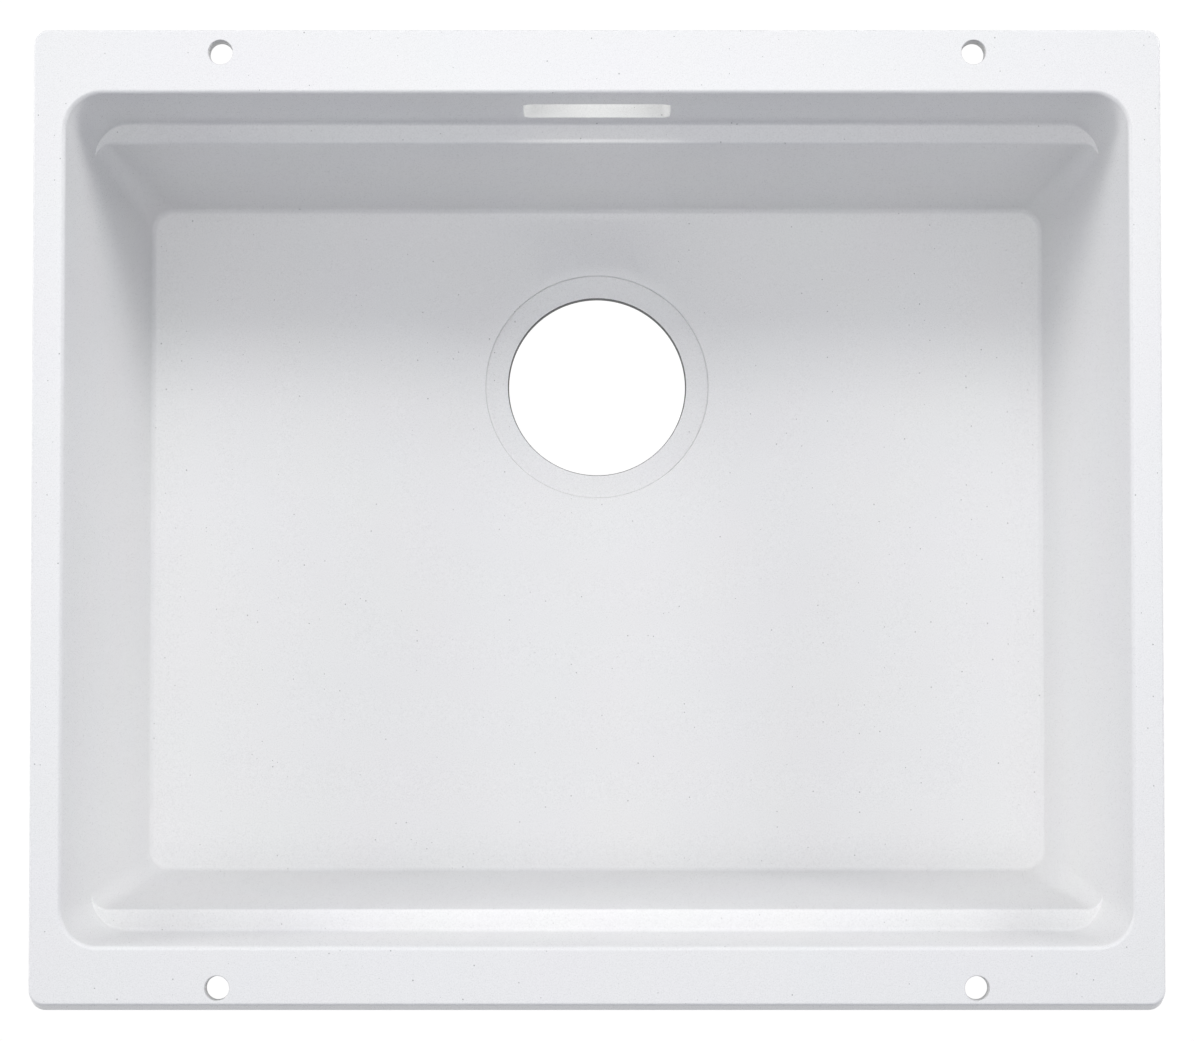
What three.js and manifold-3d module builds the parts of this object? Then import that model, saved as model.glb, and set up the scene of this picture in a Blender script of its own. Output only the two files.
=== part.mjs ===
// Undermount kitchen sink: one cast composite bowl with its flange, and the overflow housing that is
// screwed to the outside of its back wall.
//
// Millimetres, +Z up. X runs along the worktop and +Y points to the back of the sink. The origin lies
// on the surface that the base stands on, under the middle of the flange.

import * as THREE from "three";
import { mergeVertices } from "three/addons/utils/BufferGeometryUtils.js";
import Module from "manifold-3d";

const wasm = await Module();
wasm.setup();

// ---------------------------------------------------------------------------------------------
// Driving dimensions: millimetres, and degrees for drafts
// ---------------------------------------------------------------------------------------------

// Flange, which lies flat against the underside of the worktop.
const FLANGE_LENGTH = 530;
const FLANGE_WIDTH = 460;
const FLANGE_THICKNESS = 12;
const FLANGE_CORNER = 10;
const FLANGE_EDGE_ROUND = 1;
const FRONT_BEVEL_WIDTH = 3.3;
const FRONT_BEVEL_HEIGHT = 9.5;

// Borders between the flange's edge and the opening of the bowl.
const SIDE_BORDER = 15;
const FRONT_BORDER = 30;

// Inside of the bowl.
const BOWL_DEPTH = 200;
const OPENING_CORNER = 17;
const RIM_ROUND = 3.5;
const SIDE_DRAFT = 7;
const UPPER_DRAFT = 4.6;
const LOWER_DRAFT = 7;
const LOWER_CORNER = 7.5;
const FLOOR_FILLET = 6;
const FLOOR_FALL = 3;

// Ledges along the back and front walls, which fade into the side walls.
const LEDGE_DEPTH = 64.5;
const LEDGE_WIDTH = 10.8;
const LEDGE_FILLET = 2;
const LEDGE_NOSE = 3;

// Thickness of the casting, and the roundings of its outside.
const WALL = 9;
const FLOOR_THICKNESS = 10;
const FLANGE_FILLET = 6;
const OUTER_LEDGE_FILLET = 3;
const OUTER_LEDGE_NOSE = 7;
const BASE_ROUND = 14;

// Drain: a hole with a shallow seat round it for the waste's flange.
const DRAIN_HOLE = 90;
const DRAIN_SEAT_WIDTH = 11.5;
const DRAIN_SEAT_DEPTH = 2;
const DRAIN_SPOT_FACE = 1;
const DRAIN_TO_BACK_EDGE = 122.4;
const SUMP_MARGIN = 6;

// Holes for the bolts that pull the flange up against the worktop.
const FIXING_HOLE = 11.5;
const FIXING_TO_FLANGE_END = 87.8;
const FIXING_TO_FLANGE_FRONT = 10.5;

// Overflow slot, and the raised pad round it on the outside of the back wall.
const SLOT_LENGTH = 70;
const SLOT_HEIGHT = 30;
const SLOT_CORNER = 4.5;
const SLOT_BELOW_RIM = 25.5;
const PAD_HEIGHT = 1;
const PAD_MARGIN = 1.5;
const PAD_CORNER = 9;
const PAD_ROOT = 3;

// Overflow housing.
const HOUSING_WALL = 2;
const CHAMBER_CLEARANCE = 2.5;
const CHAMBER_DEPTH = 18;
const CHAMBER_CORNER = 5;
const CHAMBER_ROUND = 3;
const PLATE_THICKNESS = 3;
const PLATE_LIP = 4;
const EAR_RADIUS = 8;
const EAR_REACH = 12;
const COLLAR_RADIUS = 7;
const GUSSET_THICKNESS = 1.8;
const GUSSET_SPACING = 24;
const TAIL_BORE = 14;
const TAIL_WALL = 1.75;
const TAIL_LENGTH = 27;
const BARB_COUNT = 3;
const BARB_LENGTH = 6;
const BARB_HEIGHT = 1;
const BARB_LAND = 0.5;

// Gasket between the housing and the pad.
const GASKET_THICKNESS = 2;
const GASKET_LAP = 1;

// Screws, washers and threaded inserts.
const SCREW_DIAMETER = 5;
const SCREW_HEAD_DIAMETER = 9.5;
const SCREW_HEAD_HEIGHT = 3;
const SCREW_THREAD_IN_INSERT = 6;
const SCREW_TIP_CHAMFER = 1;
const WASHER_DIAMETER = 11;
const WASHER_THICKNESS = 1;
const INSERT_WALL = 1.1;
const INSERT_LENGTH = 7;
const INSERT_GROOVE = 0.5;

// Gap that is left between pieces which touch, and how far a cutter runs past what it cuts.
const SEAT_GAP = 0.3;
const OVERCUT = 5;

// Least share of its radius that a fading rounding keeps, and how near two points are one.
const LEAST_ROUNDING = 0.01;
const SAME_POINT = 1e-4;

// Facets of the round forms.
const CORNER_STEPS = 7;
const LONG_SIDE_STEPS = 6;
const SHORT_SIDE_STEPS = 4;
const ROUNDING_STEPS = 3;
const EDGE_STEPS = 2;
const ARC_STEPS = 4;
const HOLE_FACETS = 32;
const DRAIN_FACETS = 72;
const SMALL_FACETS = 24;

// ---------------------------------------------------------------------------------------------
// Dimensions that follow from the ones above
// ---------------------------------------------------------------------------------------------

const RIM_Z = BOWL_DEPTH + FLOOR_THICKNESS;
const FLANGE_UNDERSIDE_Z = RIM_Z - FLANGE_THICKNESS;
const LEDGE_Z = RIM_Z - LEDGE_DEPTH;
const OUTER_LEDGE_Z = LEDGE_Z - WALL;
const SUMP_Z = FLOOR_THICKNESS;
const FLOOR_EDGE_Z = SUMP_Z + FLOOR_FALL;

const OPENING_HALF_LENGTH = FLANGE_LENGTH / 2 - SIDE_BORDER;
const OPENING_HALF_WIDTH = FLANGE_WIDTH / 2 - FRONT_BORDER;

const DRAIN_Y = OPENING_HALF_WIDTH - DRAIN_TO_BACK_EDGE;
const DRAIN_SEAT_RADIUS = DRAIN_HOLE / 2 + DRAIN_SEAT_WIDTH;
const SUMP_RADIUS = DRAIN_SEAT_RADIUS + SUMP_MARGIN;

const CHAMBER_INNER_LENGTH = SLOT_LENGTH + 2 * CHAMBER_CLEARANCE;
const CHAMBER_INNER_HEIGHT = SLOT_HEIGHT + 2 * CHAMBER_CLEARANCE;
const CHAMBER_LENGTH = CHAMBER_INNER_LENGTH + 2 * HOUSING_WALL;
const CHAMBER_HEIGHT = CHAMBER_INNER_HEIGHT + 2 * HOUSING_WALL;
const PLATE_LENGTH = CHAMBER_LENGTH + 2 * PLATE_LIP;
const PLATE_HEIGHT = CHAMBER_HEIGHT + 2 * PLATE_LIP;
const PLATE_CORNER = CHAMBER_CORNER + PLATE_LIP;
const SCREW_X = CHAMBER_LENGTH / 2 + EAR_REACH;
const SCREW_XS = [-SCREW_X, SCREW_X];

// Heights above the pad's foot of the pieces that are stacked on it.
const PAD_TOP = PAD_HEIGHT;
const GASKET_BOTTOM = PAD_TOP + SEAT_GAP;
const PLATE_BOTTOM = GASKET_BOTTOM + GASKET_THICKNESS + SEAT_GAP;
const PLATE_TOP = PLATE_BOTTOM + PLATE_THICKNESS;
const WASHER_BOTTOM = PLATE_TOP + SEAT_GAP;
const HEAD_BOTTOM = WASHER_BOTTOM + WASHER_THICKNESS + SEAT_GAP;
const CHAMBER_TOP = PLATE_BOTTOM + CHAMBER_DEPTH;
const INSERT_TOP = PAD_TOP - SEAT_GAP;
const INSERT_BOTTOM = INSERT_TOP - INSERT_LENGTH;

const SCREW_CLEAR_RADIUS = SCREW_DIAMETER / 2 + SEAT_GAP;
const INSERT_RADIUS = SCREW_CLEAR_RADIUS + INSERT_WALL;

const radians = THREE.MathUtils.degToRad;
const slope = (draft) => Math.tan(radians(draft));

// ---------------------------------------------------------------------------------------------
// Solids
// ---------------------------------------------------------------------------------------------

/** Turns a closed geometry into a solid that can be joined and cut. */
function solidOf(geometry) {
  const bare = geometry.clone();
  bare.deleteAttribute("normal");
  bare.deleteAttribute("uv");
  const merged = mergeVertices(bare, SAME_POINT);
  const corners = [];
  for (let i = 0; i < merged.index.count; i += 3) {
    const [a, b, c] = merged.index.array.slice(i, i + 3);
    if (a !== b && b !== c && c !== a) corners.push(a, b, c);
  }
  const vertProperties = Float32Array.from(merged.attributes.position.array);
  const triVerts = Uint32Array.from(corners);
  return new wasm.Manifold(new wasm.Mesh({ numProp: 3, vertProperties, triVerts }));
}

/** Turns a solid back into a geometry. */
function geometryOf(solid) {
  const mesh = solid.getMesh();
  const geometry = new THREE.BufferGeometry();
  geometry.setAttribute("position", new THREE.BufferAttribute(mesh.vertProperties, 3));
  geometry.setIndex(new THREE.BufferAttribute(mesh.triVerts, 1));
  geometry.computeVertexNormals();
  return geometry;
}

const joined = (solids) => solids.reduce((whole, solid) => whole.add(solid));
const cutBy = (body, cutters) => cutters.reduce((rest, cutter) => rest.subtract(cutter), body);

/** A rectangle with round corners, centred on the origin. */
function roundedRectangle(length, height, corner) {
  const x = length / 2 - corner;
  const y = height / 2 - corner;
  const shape = new THREE.Shape();
  shape.absarc(x, y, corner, 0, Math.PI / 2);
  shape.absarc(-x, y, corner, Math.PI / 2, Math.PI);
  shape.absarc(-x, -y, corner, Math.PI, 1.5 * Math.PI);
  shape.absarc(x, -y, corner, 1.5 * Math.PI, 2 * Math.PI);
  return shape;
}

/** A bar's outline with half-round ends, centred on the origin. */
function capsule(length, height) {
  const radius = height / 2;
  const x = length / 2 - radius;
  const shape = new THREE.Shape();
  shape.absarc(x, 0, radius, -Math.PI / 2, Math.PI / 2);
  shape.absarc(-x, 0, radius, Math.PI / 2, 1.5 * Math.PI);
  return shape;
}

/** Extrudes a shape between two heights, with its edges rounded by `round` at both ends. */
function extruded(shape, from, to, round = 0) {
  const geometry = new THREE.ExtrudeGeometry(shape, {
    depth: to - from - 2 * round,
    curveSegments: ARC_STEPS,
    bevelEnabled: round > 0,
    bevelThickness: round,
    bevelSize: round,
    bevelOffset: -round,
    bevelSegments: ROUNDING_STEPS,
  });
  return geometry.translate(0, 0, from + round);
}

/** Revolves a profile of [radius, height] points round the Z axis. */
function turned(profile, facets) {
  const points = profile.map(([radius, height]) => new THREE.Vector2(radius, height));
  return new THREE.LatheGeometry(points, facets).rotateX(Math.PI / 2);
}

/** Closed profile of a flat ring. */
const ring = (inner, outer, bottom, top) => [
  [inner, bottom],
  [outer, bottom],
  [outer, top],
  [inner, top],
  [inner, bottom],
];

/** A round bar along Z, for bores and bosses. */
function bar(radius, from, to, facets = HOLE_FACETS) {
  return turned([[0, from], [radius, from], [radius, to], [0, to]], facets);
}

// ---------------------------------------------------------------------------------------------
// Casting
// ---------------------------------------------------------------------------------------------

/**
 * Stations round a rounded rectangle, anticlockwise from the right-hand end of the back right corner.
 * Each holds its place and the outward direction there. Every outline has the same stations, so
 * outlines of any size can be joined point to point.
 */
function outline(halfLength, halfWidth, corner) {
  const stations = [];
  for (let quarter = 0; quarter < 4; quarter += 1) {
    const signX = quarter === 0 || quarter === 3 ? 1 : -1;
    const signY = quarter < 2 ? 1 : -1;
    const centre = new THREE.Vector3(signX * (halfLength - corner), signY * (halfWidth - corner), 0);
    for (let step = 0; step <= CORNER_STEPS; step += 1) {
      const angle = (quarter + step / CORNER_STEPS) * (Math.PI / 2);
      const out = new THREE.Vector3(Math.cos(angle), Math.sin(angle), 0);
      stations.push({ place: centre.clone().addScaledVector(out, corner), out });
    }
  }
  return withSides(stations);
}

/** Adds evenly spaced stations along the straight sides between the corners. */
function withSides(corners) {
  const perCorner = CORNER_STEPS + 1;
  const stations = [];
  corners.forEach((station, index) => {
    stations.push(station);
    if (index % perCorner !== perCorner - 1) return;
    const next = corners[(index + 1) % corners.length];
    const quarter = Math.floor(index / perCorner);
    const steps = quarter % 2 === 0 ? LONG_SIDE_STEPS : SHORT_SIDE_STEPS;
    for (let step = 1; step < steps; step += 1) {
      const place = station.place.clone().lerp(next.place, step / steps);
      stations.push({ place, out: station.out });
    }
  });
  return stations;
}

/** Outline of the wall above the ledges at height z, moved out by `offset`. */
function upperWall(z, offset) {
  const depth = RIM_Z - z;
  return outline(
    OPENING_HALF_LENGTH - depth * slope(SIDE_DRAFT) + offset,
    OPENING_HALF_WIDTH - depth * slope(UPPER_DRAFT) + offset,
    OPENING_CORNER + offset,
  );
}

/** Outline of the wall below the ledges at height z, moved out by `offset`. */
function lowerWall(z, offset) {
  const ledgeHalfWidth = OPENING_HALF_WIDTH - LEDGE_DEPTH * slope(UPPER_DRAFT) - LEDGE_WIDTH;
  return outline(
    OPENING_HALF_LENGTH - (RIM_Z - z) * slope(SIDE_DRAFT) + offset,
    ledgeHalfWidth - (LEDGE_Z - z) * slope(LOWER_DRAFT) + offset,
    LOWER_CORNER + offset,
  );
}

/** Where a wall stands at height z at one station, with its directions up, down and out. */
function wallAt(wall, z, offset, station) {
  const { place, out } = wall(z, offset)[station];
  const above = wall(z + 1, offset)[station].place.clone().setZ(1);
  const up = above.sub(place).normalize();
  return { place: place.clone().setZ(z), up, down: up.clone().negate(), out, in: out.clone().negate() };
}

/** How far from a corner its rounding begins. */
function tangentLength(legA, legB, radius) {
  return radius / Math.tan(legA.angleTo(legB) / 2);
}

/** Points of a rounded corner, from the leg along `legA` round to the leg along `legB`. */
function roundedCorner(corner, legA, legB, radius, steps = ROUNDING_STEPS) {
  const half = legA.angleTo(legB) / 2;
  const sweep = Math.PI - 2 * half;
  const bisector = legA.clone().add(legB).normalize();
  const centre = corner.clone().addScaledVector(bisector, radius / Math.sin(half));
  const reach = tangentLength(legA, legB, radius);
  const start = corner.clone().addScaledVector(legA, reach).sub(centre);
  const end = corner.clone().addScaledVector(legB, reach).sub(centre);
  const points = [];
  for (let step = 0; step <= steps; step += 1) {
    const turn = (step / steps) * sweep;
    points.push(
      centre
        .clone()
        .addScaledVector(start, Math.sin(sweep - turn) / Math.sin(sweep))
        .addScaledVector(end, Math.sin(turn) / Math.sin(sweep)),
    );
  }
  return points;
}

/**
 * Points across a ledge at one station, from the wall below it up to the wall above it. The ledge
 * narrows round each corner of the bowl. As its width runs out, its roundings shrink with it and the
 * points spread out into a straight line up the side wall, so that the ledge fades away.
 */
function ledgePoints(below, above, lowerRadius, upperRadius) {
  const width = above.place.clone().sub(below.place).dot(below.out);
  const needed =
    tangentLength(below.down, below.out, lowerRadius) + tangentLength(above.in, above.up, upperRadius);
  const scale = THREE.MathUtils.clamp(width / needed, LEAST_ROUNDING, 1);
  const rounded = [
    ...roundedCorner(below.place, below.down, below.out, lowerRadius * scale),
    ...roundedCorner(above.place, above.in, above.up, upperRadius * scale),
  ];
  const spread = (lowerRadius + upperRadius) / 2;
  const foot = below.place.clone().addScaledVector(below.down, spread);
  const head = above.place.clone().addScaledVector(above.up, spread);
  const presence = THREE.MathUtils.smoothstep(width, 0, spread);
  return rounded.map((point, index) => {
    const straight = foot.clone().lerp(head, index / (rounded.length - 1));
    return straight.lerp(point, presence);
  });
}

/** Points of the inside of the bowl at one station, from the sump up to the rim. */
function insideProfile(station) {
  const foot = wallAt(lowerWall, FLOOR_EDGE_Z, 0, station);
  const below = wallAt(lowerWall, LEDGE_Z, 0, station);
  const above = wallAt(upperWall, LEDGE_Z, 0, station);
  const rim = wallAt(upperWall, RIM_Z, 0, station);
  const drain = new THREE.Vector3(0, DRAIN_Y, SUMP_Z);
  const towardsFoot = foot.place.clone().sub(drain).setZ(0).normalize();
  return [
    drain.clone().addScaledVector(towardsFoot, SUMP_RADIUS),
    ...roundedCorner(foot.place, foot.in, foot.up, FLOOR_FILLET),
    ...ledgePoints(below, above, LEDGE_NOSE, LEDGE_FILLET),
    ...roundedCorner(rim.place, rim.down, rim.out, RIM_ROUND),
  ];
}

/** Points of the flange's edge at one station, from its top face down to its underside. */
function flangeProfile(station) {
  const edge = outline(FLANGE_LENGTH / 2, FLANGE_WIDTH / 2, FLANGE_CORNER)[station];
  const inwards = edge.out.clone().negate();
  const down = new THREE.Vector3(0, 0, -1);
  const top = edge.place.clone().setZ(RIM_Z);
  return [
    ...roundedCorner(top, inwards, down, FLANGE_EDGE_ROUND, EDGE_STEPS),
    edge.place.clone().setZ(FLANGE_UNDERSIDE_Z),
  ];
}

/** Points of the outside of the bowl at one station, from the flange down to the base. */
function outsideProfile(station) {
  const neck = wallAt(upperWall, FLANGE_UNDERSIDE_Z, WALL, station);
  const above = wallAt(upperWall, OUTER_LEDGE_Z, WALL, station);
  const below = wallAt(lowerWall, OUTER_LEDGE_Z, WALL, station);
  const foot = wallAt(lowerWall, 0, WALL, station);
  return [
    ...roundedCorner(neck.place, neck.out, neck.down, FLANGE_FILLET),
    ...ledgePoints(below, above, OUTER_LEDGE_FILLET, OUTER_LEDGE_NOSE).reverse(),
    ...roundedCorner(foot.place, foot.up, foot.in, BASE_ROUND),
  ];
}

/** Skins a ring of profiles that all start from one pole and end in another. */
function skinned(profiles, firstPole, lastPole) {
  const perProfile = profiles[0].length;
  const points = [firstPole, ...profiles.flat(), lastPole];
  const vertex = (profile, point) => 1 + (profile % profiles.length) * perProfile + point;
  const index = [];
  profiles.forEach((_, profile) => {
    index.push(0, vertex(profile, 0), vertex(profile + 1, 0));
    for (let point = 0; point < perProfile - 1; point += 1) {
      const here = vertex(profile, point);
      const beside = vertex(profile + 1, point);
      index.push(here, here + 1, beside + 1, here, beside + 1, beside);
    }
    const last = perProfile - 1;
    index.push(vertex(profile, last), points.length - 1, vertex(profile + 1, last));
  });
  return new THREE.BufferGeometry().setFromPoints(points).setIndex(index);
}

/** The casting before anything is cut out of it. */
function castShell() {
  const profiles = upperWall(RIM_Z, 0).map((_, station) => [
    ...insideProfile(station),
    ...flangeProfile(station),
    ...outsideProfile(station),
  ]);
  const sumpPole = new THREE.Vector3(0, DRAIN_Y, SUMP_Z);
  const basePole = new THREE.Vector3(0, DRAIN_Y, 0);
  return skinned(profiles, sumpPole, basePole);
}

/** The hole for the waste, the shallow seat for its flange and the ground face under the base. */
function drainCutters() {
  const hole = bar(DRAIN_HOLE / 2, -OVERCUT, SUMP_Z + OVERCUT, DRAIN_FACETS);
  const seat = bar(DRAIN_SEAT_RADIUS, SUMP_Z - DRAIN_SEAT_DEPTH, SUMP_Z + OVERCUT, DRAIN_FACETS);
  const spotFace = bar(DRAIN_SEAT_RADIUS, -OVERCUT, DRAIN_SPOT_FACE, DRAIN_FACETS);
  return [hole, seat, spotFace].map((cutter) => cutter.translate(0, DRAIN_Y, 0));
}

/** Four through holes near the corners of the flange. */
function fixingCutters() {
  const x = FLANGE_LENGTH / 2 - FIXING_TO_FLANGE_END;
  const y = FLANGE_WIDTH / 2 - FIXING_TO_FLANGE_FRONT;
  const hole = () => bar(FIXING_HOLE / 2, FLANGE_UNDERSIDE_Z - OVERCUT, RIM_Z + OVERCUT);
  return [-x, x].flatMap((holeX) => [-y, y].map((holeY) => hole().translate(holeX, holeY, 0)));
}

/** The wedge that is planed off along the front edge of the flange. */
function frontBevelCutter() {
  const top = new THREE.Vector2(FRONT_BEVEL_WIDTH - FLANGE_WIDTH / 2, RIM_Z);
  const bottom = new THREE.Vector2(-FLANGE_WIDTH / 2, RIM_Z - FRONT_BEVEL_HEIGHT);
  const past = top.clone().sub(bottom);
  top.add(past);
  bottom.sub(past);
  const wedge = new THREE.Shape([top, new THREE.Vector2(bottom.x, top.y), bottom]);
  const half = FLANGE_LENGTH / 2 + OVERCUT;
  const along = new THREE.Vector3(1, 0, 0);
  const back = new THREE.Vector3(0, 1, 0);
  const up = new THREE.Vector3(0, 0, 1);
  const turn = new THREE.Matrix4().makeBasis(back, up, along);
  return extruded(wedge, -half, half).applyMatrix4(turn);
}

/**
 * Frame of the overflow on the outside of the back wall, at the middle of the slot: x runs to the
 * right, y down the sloping wall and z straight out of it.
 */
function overflowFrame() {
  const z = RIM_Z - SLOT_BELOW_RIM - SLOT_HEIGHT / 2;
  const y = OPENING_HALF_WIDTH - (RIM_Z - z) * slope(UPPER_DRAFT) + WALL;
  return new THREE.Matrix4().makeRotationX(radians(-90 - UPPER_DRAFT)).setPosition(0, y, z);
}

/** Raised flat round the slot, which the gasket and the housing's ears bear on. */
function overflowPad() {
  const length = 2 * (SCREW_X + EAR_RADIUS + PAD_MARGIN);
  const height = PLATE_HEIGHT + 2 * PAD_MARGIN;
  return extruded(roundedRectangle(length, height, PAD_CORNER), -PAD_ROOT, PAD_TOP);
}

/** The slot through the back wall, and the pockets for the threaded inserts. */
function overflowCutters() {
  const slot = roundedRectangle(SLOT_LENGTH, SLOT_HEIGHT, SLOT_CORNER);
  const pocket = () => bar(INSERT_RADIUS + SEAT_GAP, INSERT_BOTTOM - SEAT_GAP, PAD_TOP + OVERCUT);
  return [
    extruded(slot, -WALL - OVERCUT, PAD_TOP + OVERCUT),
    ...SCREW_XS.map((x) => pocket().translate(x, 0, 0)),
  ];
}

function sinkBowl() {
  const frame = overflowFrame();
  const placed = (geometry) => solidOf(geometry.applyMatrix4(frame));
  const casting = solidOf(castShell()).add(placed(overflowPad()));
  const cutters = [...drainCutters(), ...fixingCutters(), frontBevelCutter()].map(solidOf);
  return cutBy(casting, [...cutters, ...overflowCutters().map(placed)]);
}

// ---------------------------------------------------------------------------------------------
// Overflow housing and what holds it, in the overflow's frame
// ---------------------------------------------------------------------------------------------

/** Turns a piece made round the Z axis so that it hangs down the wall, along y. */
const hanging = (geometry) => geometry.rotateX(-Math.PI / 2);

/** Barbed hose tail below the chamber: a hose slides on over the tapers and can't slide off. */
function hoseTail() {
  const radius = TAIL_BORE / 2 + TAIL_WALL;
  const end = CHAMBER_HEIGHT / 2 + TAIL_LENGTH;
  const profile = [[0, CHAMBER_HEIGHT / 2 - HOUSING_WALL], [radius, CHAMBER_HEIGHT / 2 - HOUSING_WALL]];
  for (let barb = BARB_COUNT; barb > 0; barb -= 1) {
    const back = end - barb * BARB_LENGTH;
    profile.push([radius, back], [radius + BARB_HEIGHT, back], [radius, back + BARB_LENGTH - BARB_LAND]);
  }
  profile.push([radius, end], [0, end]);
  return hanging(turned(profile, SMALL_FACETS));
}

/** Bore of the hose tail, up into the chamber. */
function tailBore() {
  const end = CHAMBER_HEIGHT / 2 + TAIL_LENGTH + OVERCUT;
  return hanging(bar(TAIL_BORE / 2, CHAMBER_INNER_HEIGHT / 2 - OVERCUT, end, SMALL_FACETS));
}

/** Webs that stiffen the plate against the chamber's long walls. */
function gussets() {
  const rise = CHAMBER_DEPTH - CHAMBER_ROUND;
  const web = () => {
    const side = new THREE.Shape();
    side.moveTo(0, 0);
    side.lineTo(PLATE_HEIGHT, 0);
    side.lineTo(PLATE_HEIGHT / 2 + CHAMBER_HEIGHT / 2, rise);
    side.lineTo(PLATE_HEIGHT / 2 - CHAMBER_HEIGHT / 2, rise);
    const down = new THREE.Vector3(0, 1, 0);
    const out = new THREE.Vector3(0, 0, 1);
    const across = new THREE.Vector3(1, 0, 0);
    const turn = new THREE.Matrix4().makeBasis(down, out, across);
    const geometry = extruded(side, -GUSSET_THICKNESS / 2, GUSSET_THICKNESS / 2);
    return geometry.applyMatrix4(turn).translate(0, -PLATE_HEIGHT / 2, PLATE_BOTTOM);
  };
  return [-GUSSET_SPACING, GUSSET_SPACING].map((x) => web().translate(x, 0, 0));
}

/** Plate, ears, chamber and tail of the housing, moulded in one and hollowed from the wall's side. */
function overflowHousing() {
  const plate = roundedRectangle(PLATE_LENGTH, PLATE_HEIGHT, PLATE_CORNER);
  const ears = capsule(2 * (SCREW_X + EAR_RADIUS), 2 * EAR_RADIUS);
  const chamber = roundedRectangle(CHAMBER_LENGTH, CHAMBER_HEIGHT, CHAMBER_CORNER);
  const hollow = roundedRectangle(
    CHAMBER_INNER_LENGTH,
    CHAMBER_INNER_HEIGHT,
    CHAMBER_CORNER - HOUSING_WALL,
  );
  const collar = () => bar(COLLAR_RADIUS, PAD_TOP + SEAT_GAP, PLATE_TOP - PLATE_THICKNESS / 2);
  const screwHole = () => bar(SCREW_CLEAR_RADIUS, PAD_TOP - OVERCUT, PLATE_TOP + OVERCUT);
  const tailZ = PLATE_BOTTOM + CHAMBER_DEPTH / 2;
  const body = [
    extruded(plate, PLATE_BOTTOM, PLATE_TOP),
    extruded(ears, PLATE_BOTTOM, PLATE_TOP),
    extruded(chamber, PLATE_BOTTOM, CHAMBER_TOP, CHAMBER_ROUND),
    ...SCREW_XS.map((x) => collar().translate(x, 0, 0)),
    ...gussets(),
    hoseTail().translate(0, 0, tailZ),
  ];
  const cutters = [
    extruded(hollow, PLATE_BOTTOM - OVERCUT, CHAMBER_TOP - HOUSING_WALL, CHAMBER_ROUND - HOUSING_WALL),
    ...SCREW_XS.map((x) => screwHole().translate(x, 0, 0)),
    tailBore().translate(0, 0, tailZ),
  ];
  return cutBy(joined(body.map(solidOf)), cutters.map(solidOf));
}

/** Flat rubber frame, as large as the plate, with an opening a little larger than the slot. */
function overflowGasket() {
  const frame = roundedRectangle(PLATE_LENGTH, PLATE_HEIGHT, PLATE_CORNER);
  frame.holes.push(
    roundedRectangle(
      SLOT_LENGTH + 2 * GASKET_LAP,
      SLOT_HEIGHT + 2 * GASKET_LAP,
      SLOT_CORNER + GASKET_LAP,
    ),
  );
  return extruded(frame, GASKET_BOTTOM, GASKET_BOTTOM + GASKET_THICKNESS);
}

/** Pan-head screw: a shank with a chamfered tip, and a head whose top is an arc. */
function housingScrew() {
  const shank = SCREW_DIAMETER / 2;
  const head = SCREW_HEAD_DIAMETER / 2;
  const tip = INSERT_TOP - SCREW_THREAD_IN_INSERT;
  const side = HEAD_BOTTOM + SCREW_HEAD_HEIGHT / 3;
  const dome = (2 * SCREW_HEAD_HEIGHT) / 3;
  const profile = [
    [0, tip],
    [shank - SCREW_TIP_CHAMFER, tip],
    [shank, tip + SCREW_TIP_CHAMFER],
    [shank, HEAD_BOTTOM],
    [head, HEAD_BOTTOM],
  ];
  for (let step = 0; step <= ROUNDING_STEPS; step += 1) {
    const angle = (step / ROUNDING_STEPS) * (Math.PI / 2);
    profile.push([head * Math.cos(angle), side + dome * Math.sin(angle)]);
  }
  return turned(profile, SMALL_FACETS);
}

function housingWasher() {
  const outer = WASHER_DIAMETER / 2;
  const top = WASHER_BOTTOM + WASHER_THICKNESS;
  return turned(ring(SCREW_CLEAR_RADIUS, outer, WASHER_BOTTOM, top), SMALL_FACETS);
}

/** Brass sleeve with a groove round its middle, which the casting grips. */
function threadedInsert() {
  const middle = (INSERT_TOP + INSERT_BOTTOM) / 2;
  const groove = INSERT_RADIUS - INSERT_GROOVE;
  const profile = [
    [SCREW_CLEAR_RADIUS, INSERT_BOTTOM],
    [INSERT_RADIUS, INSERT_BOTTOM],
    [INSERT_RADIUS, middle - INSERT_GROOVE],
    [groove, middle - INSERT_GROOVE],
    [groove, middle + INSERT_GROOVE],
    [INSERT_RADIUS, middle + INSERT_GROOVE],
    [INSERT_RADIUS, INSERT_TOP],
    [SCREW_CLEAR_RADIUS, INSERT_TOP],
    [SCREW_CLEAR_RADIUS, INSERT_BOTTOM],
  ];
  return turned(profile, SMALL_FACETS);
}

// ---------------------------------------------------------------------------------------------
// Assembly
// ---------------------------------------------------------------------------------------------

const COMPOSITE = { color: "#eceded", roughness: 0.6, metalness: 0 };
const MILKY_PLASTIC = { color: "#eef0ee", roughness: 0.4, metalness: 0 };
const BLACK_RUBBER = { color: "#1d1e20", roughness: 0.85, metalness: 0 };
const STAINLESS_STEEL = { color: "#c3c5c7", roughness: 0.3, metalness: 1 };
const BRASS = { color: "#c8a55a", roughness: 0.35, metalness: 1 };

/** A named piece with a material of its own. */
function piece(name, geometry, look) {
  const mesh = new THREE.Mesh(geometry, new THREE.MeshStandardMaterial(look));
  mesh.name = name;
  return mesh;
}

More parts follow.
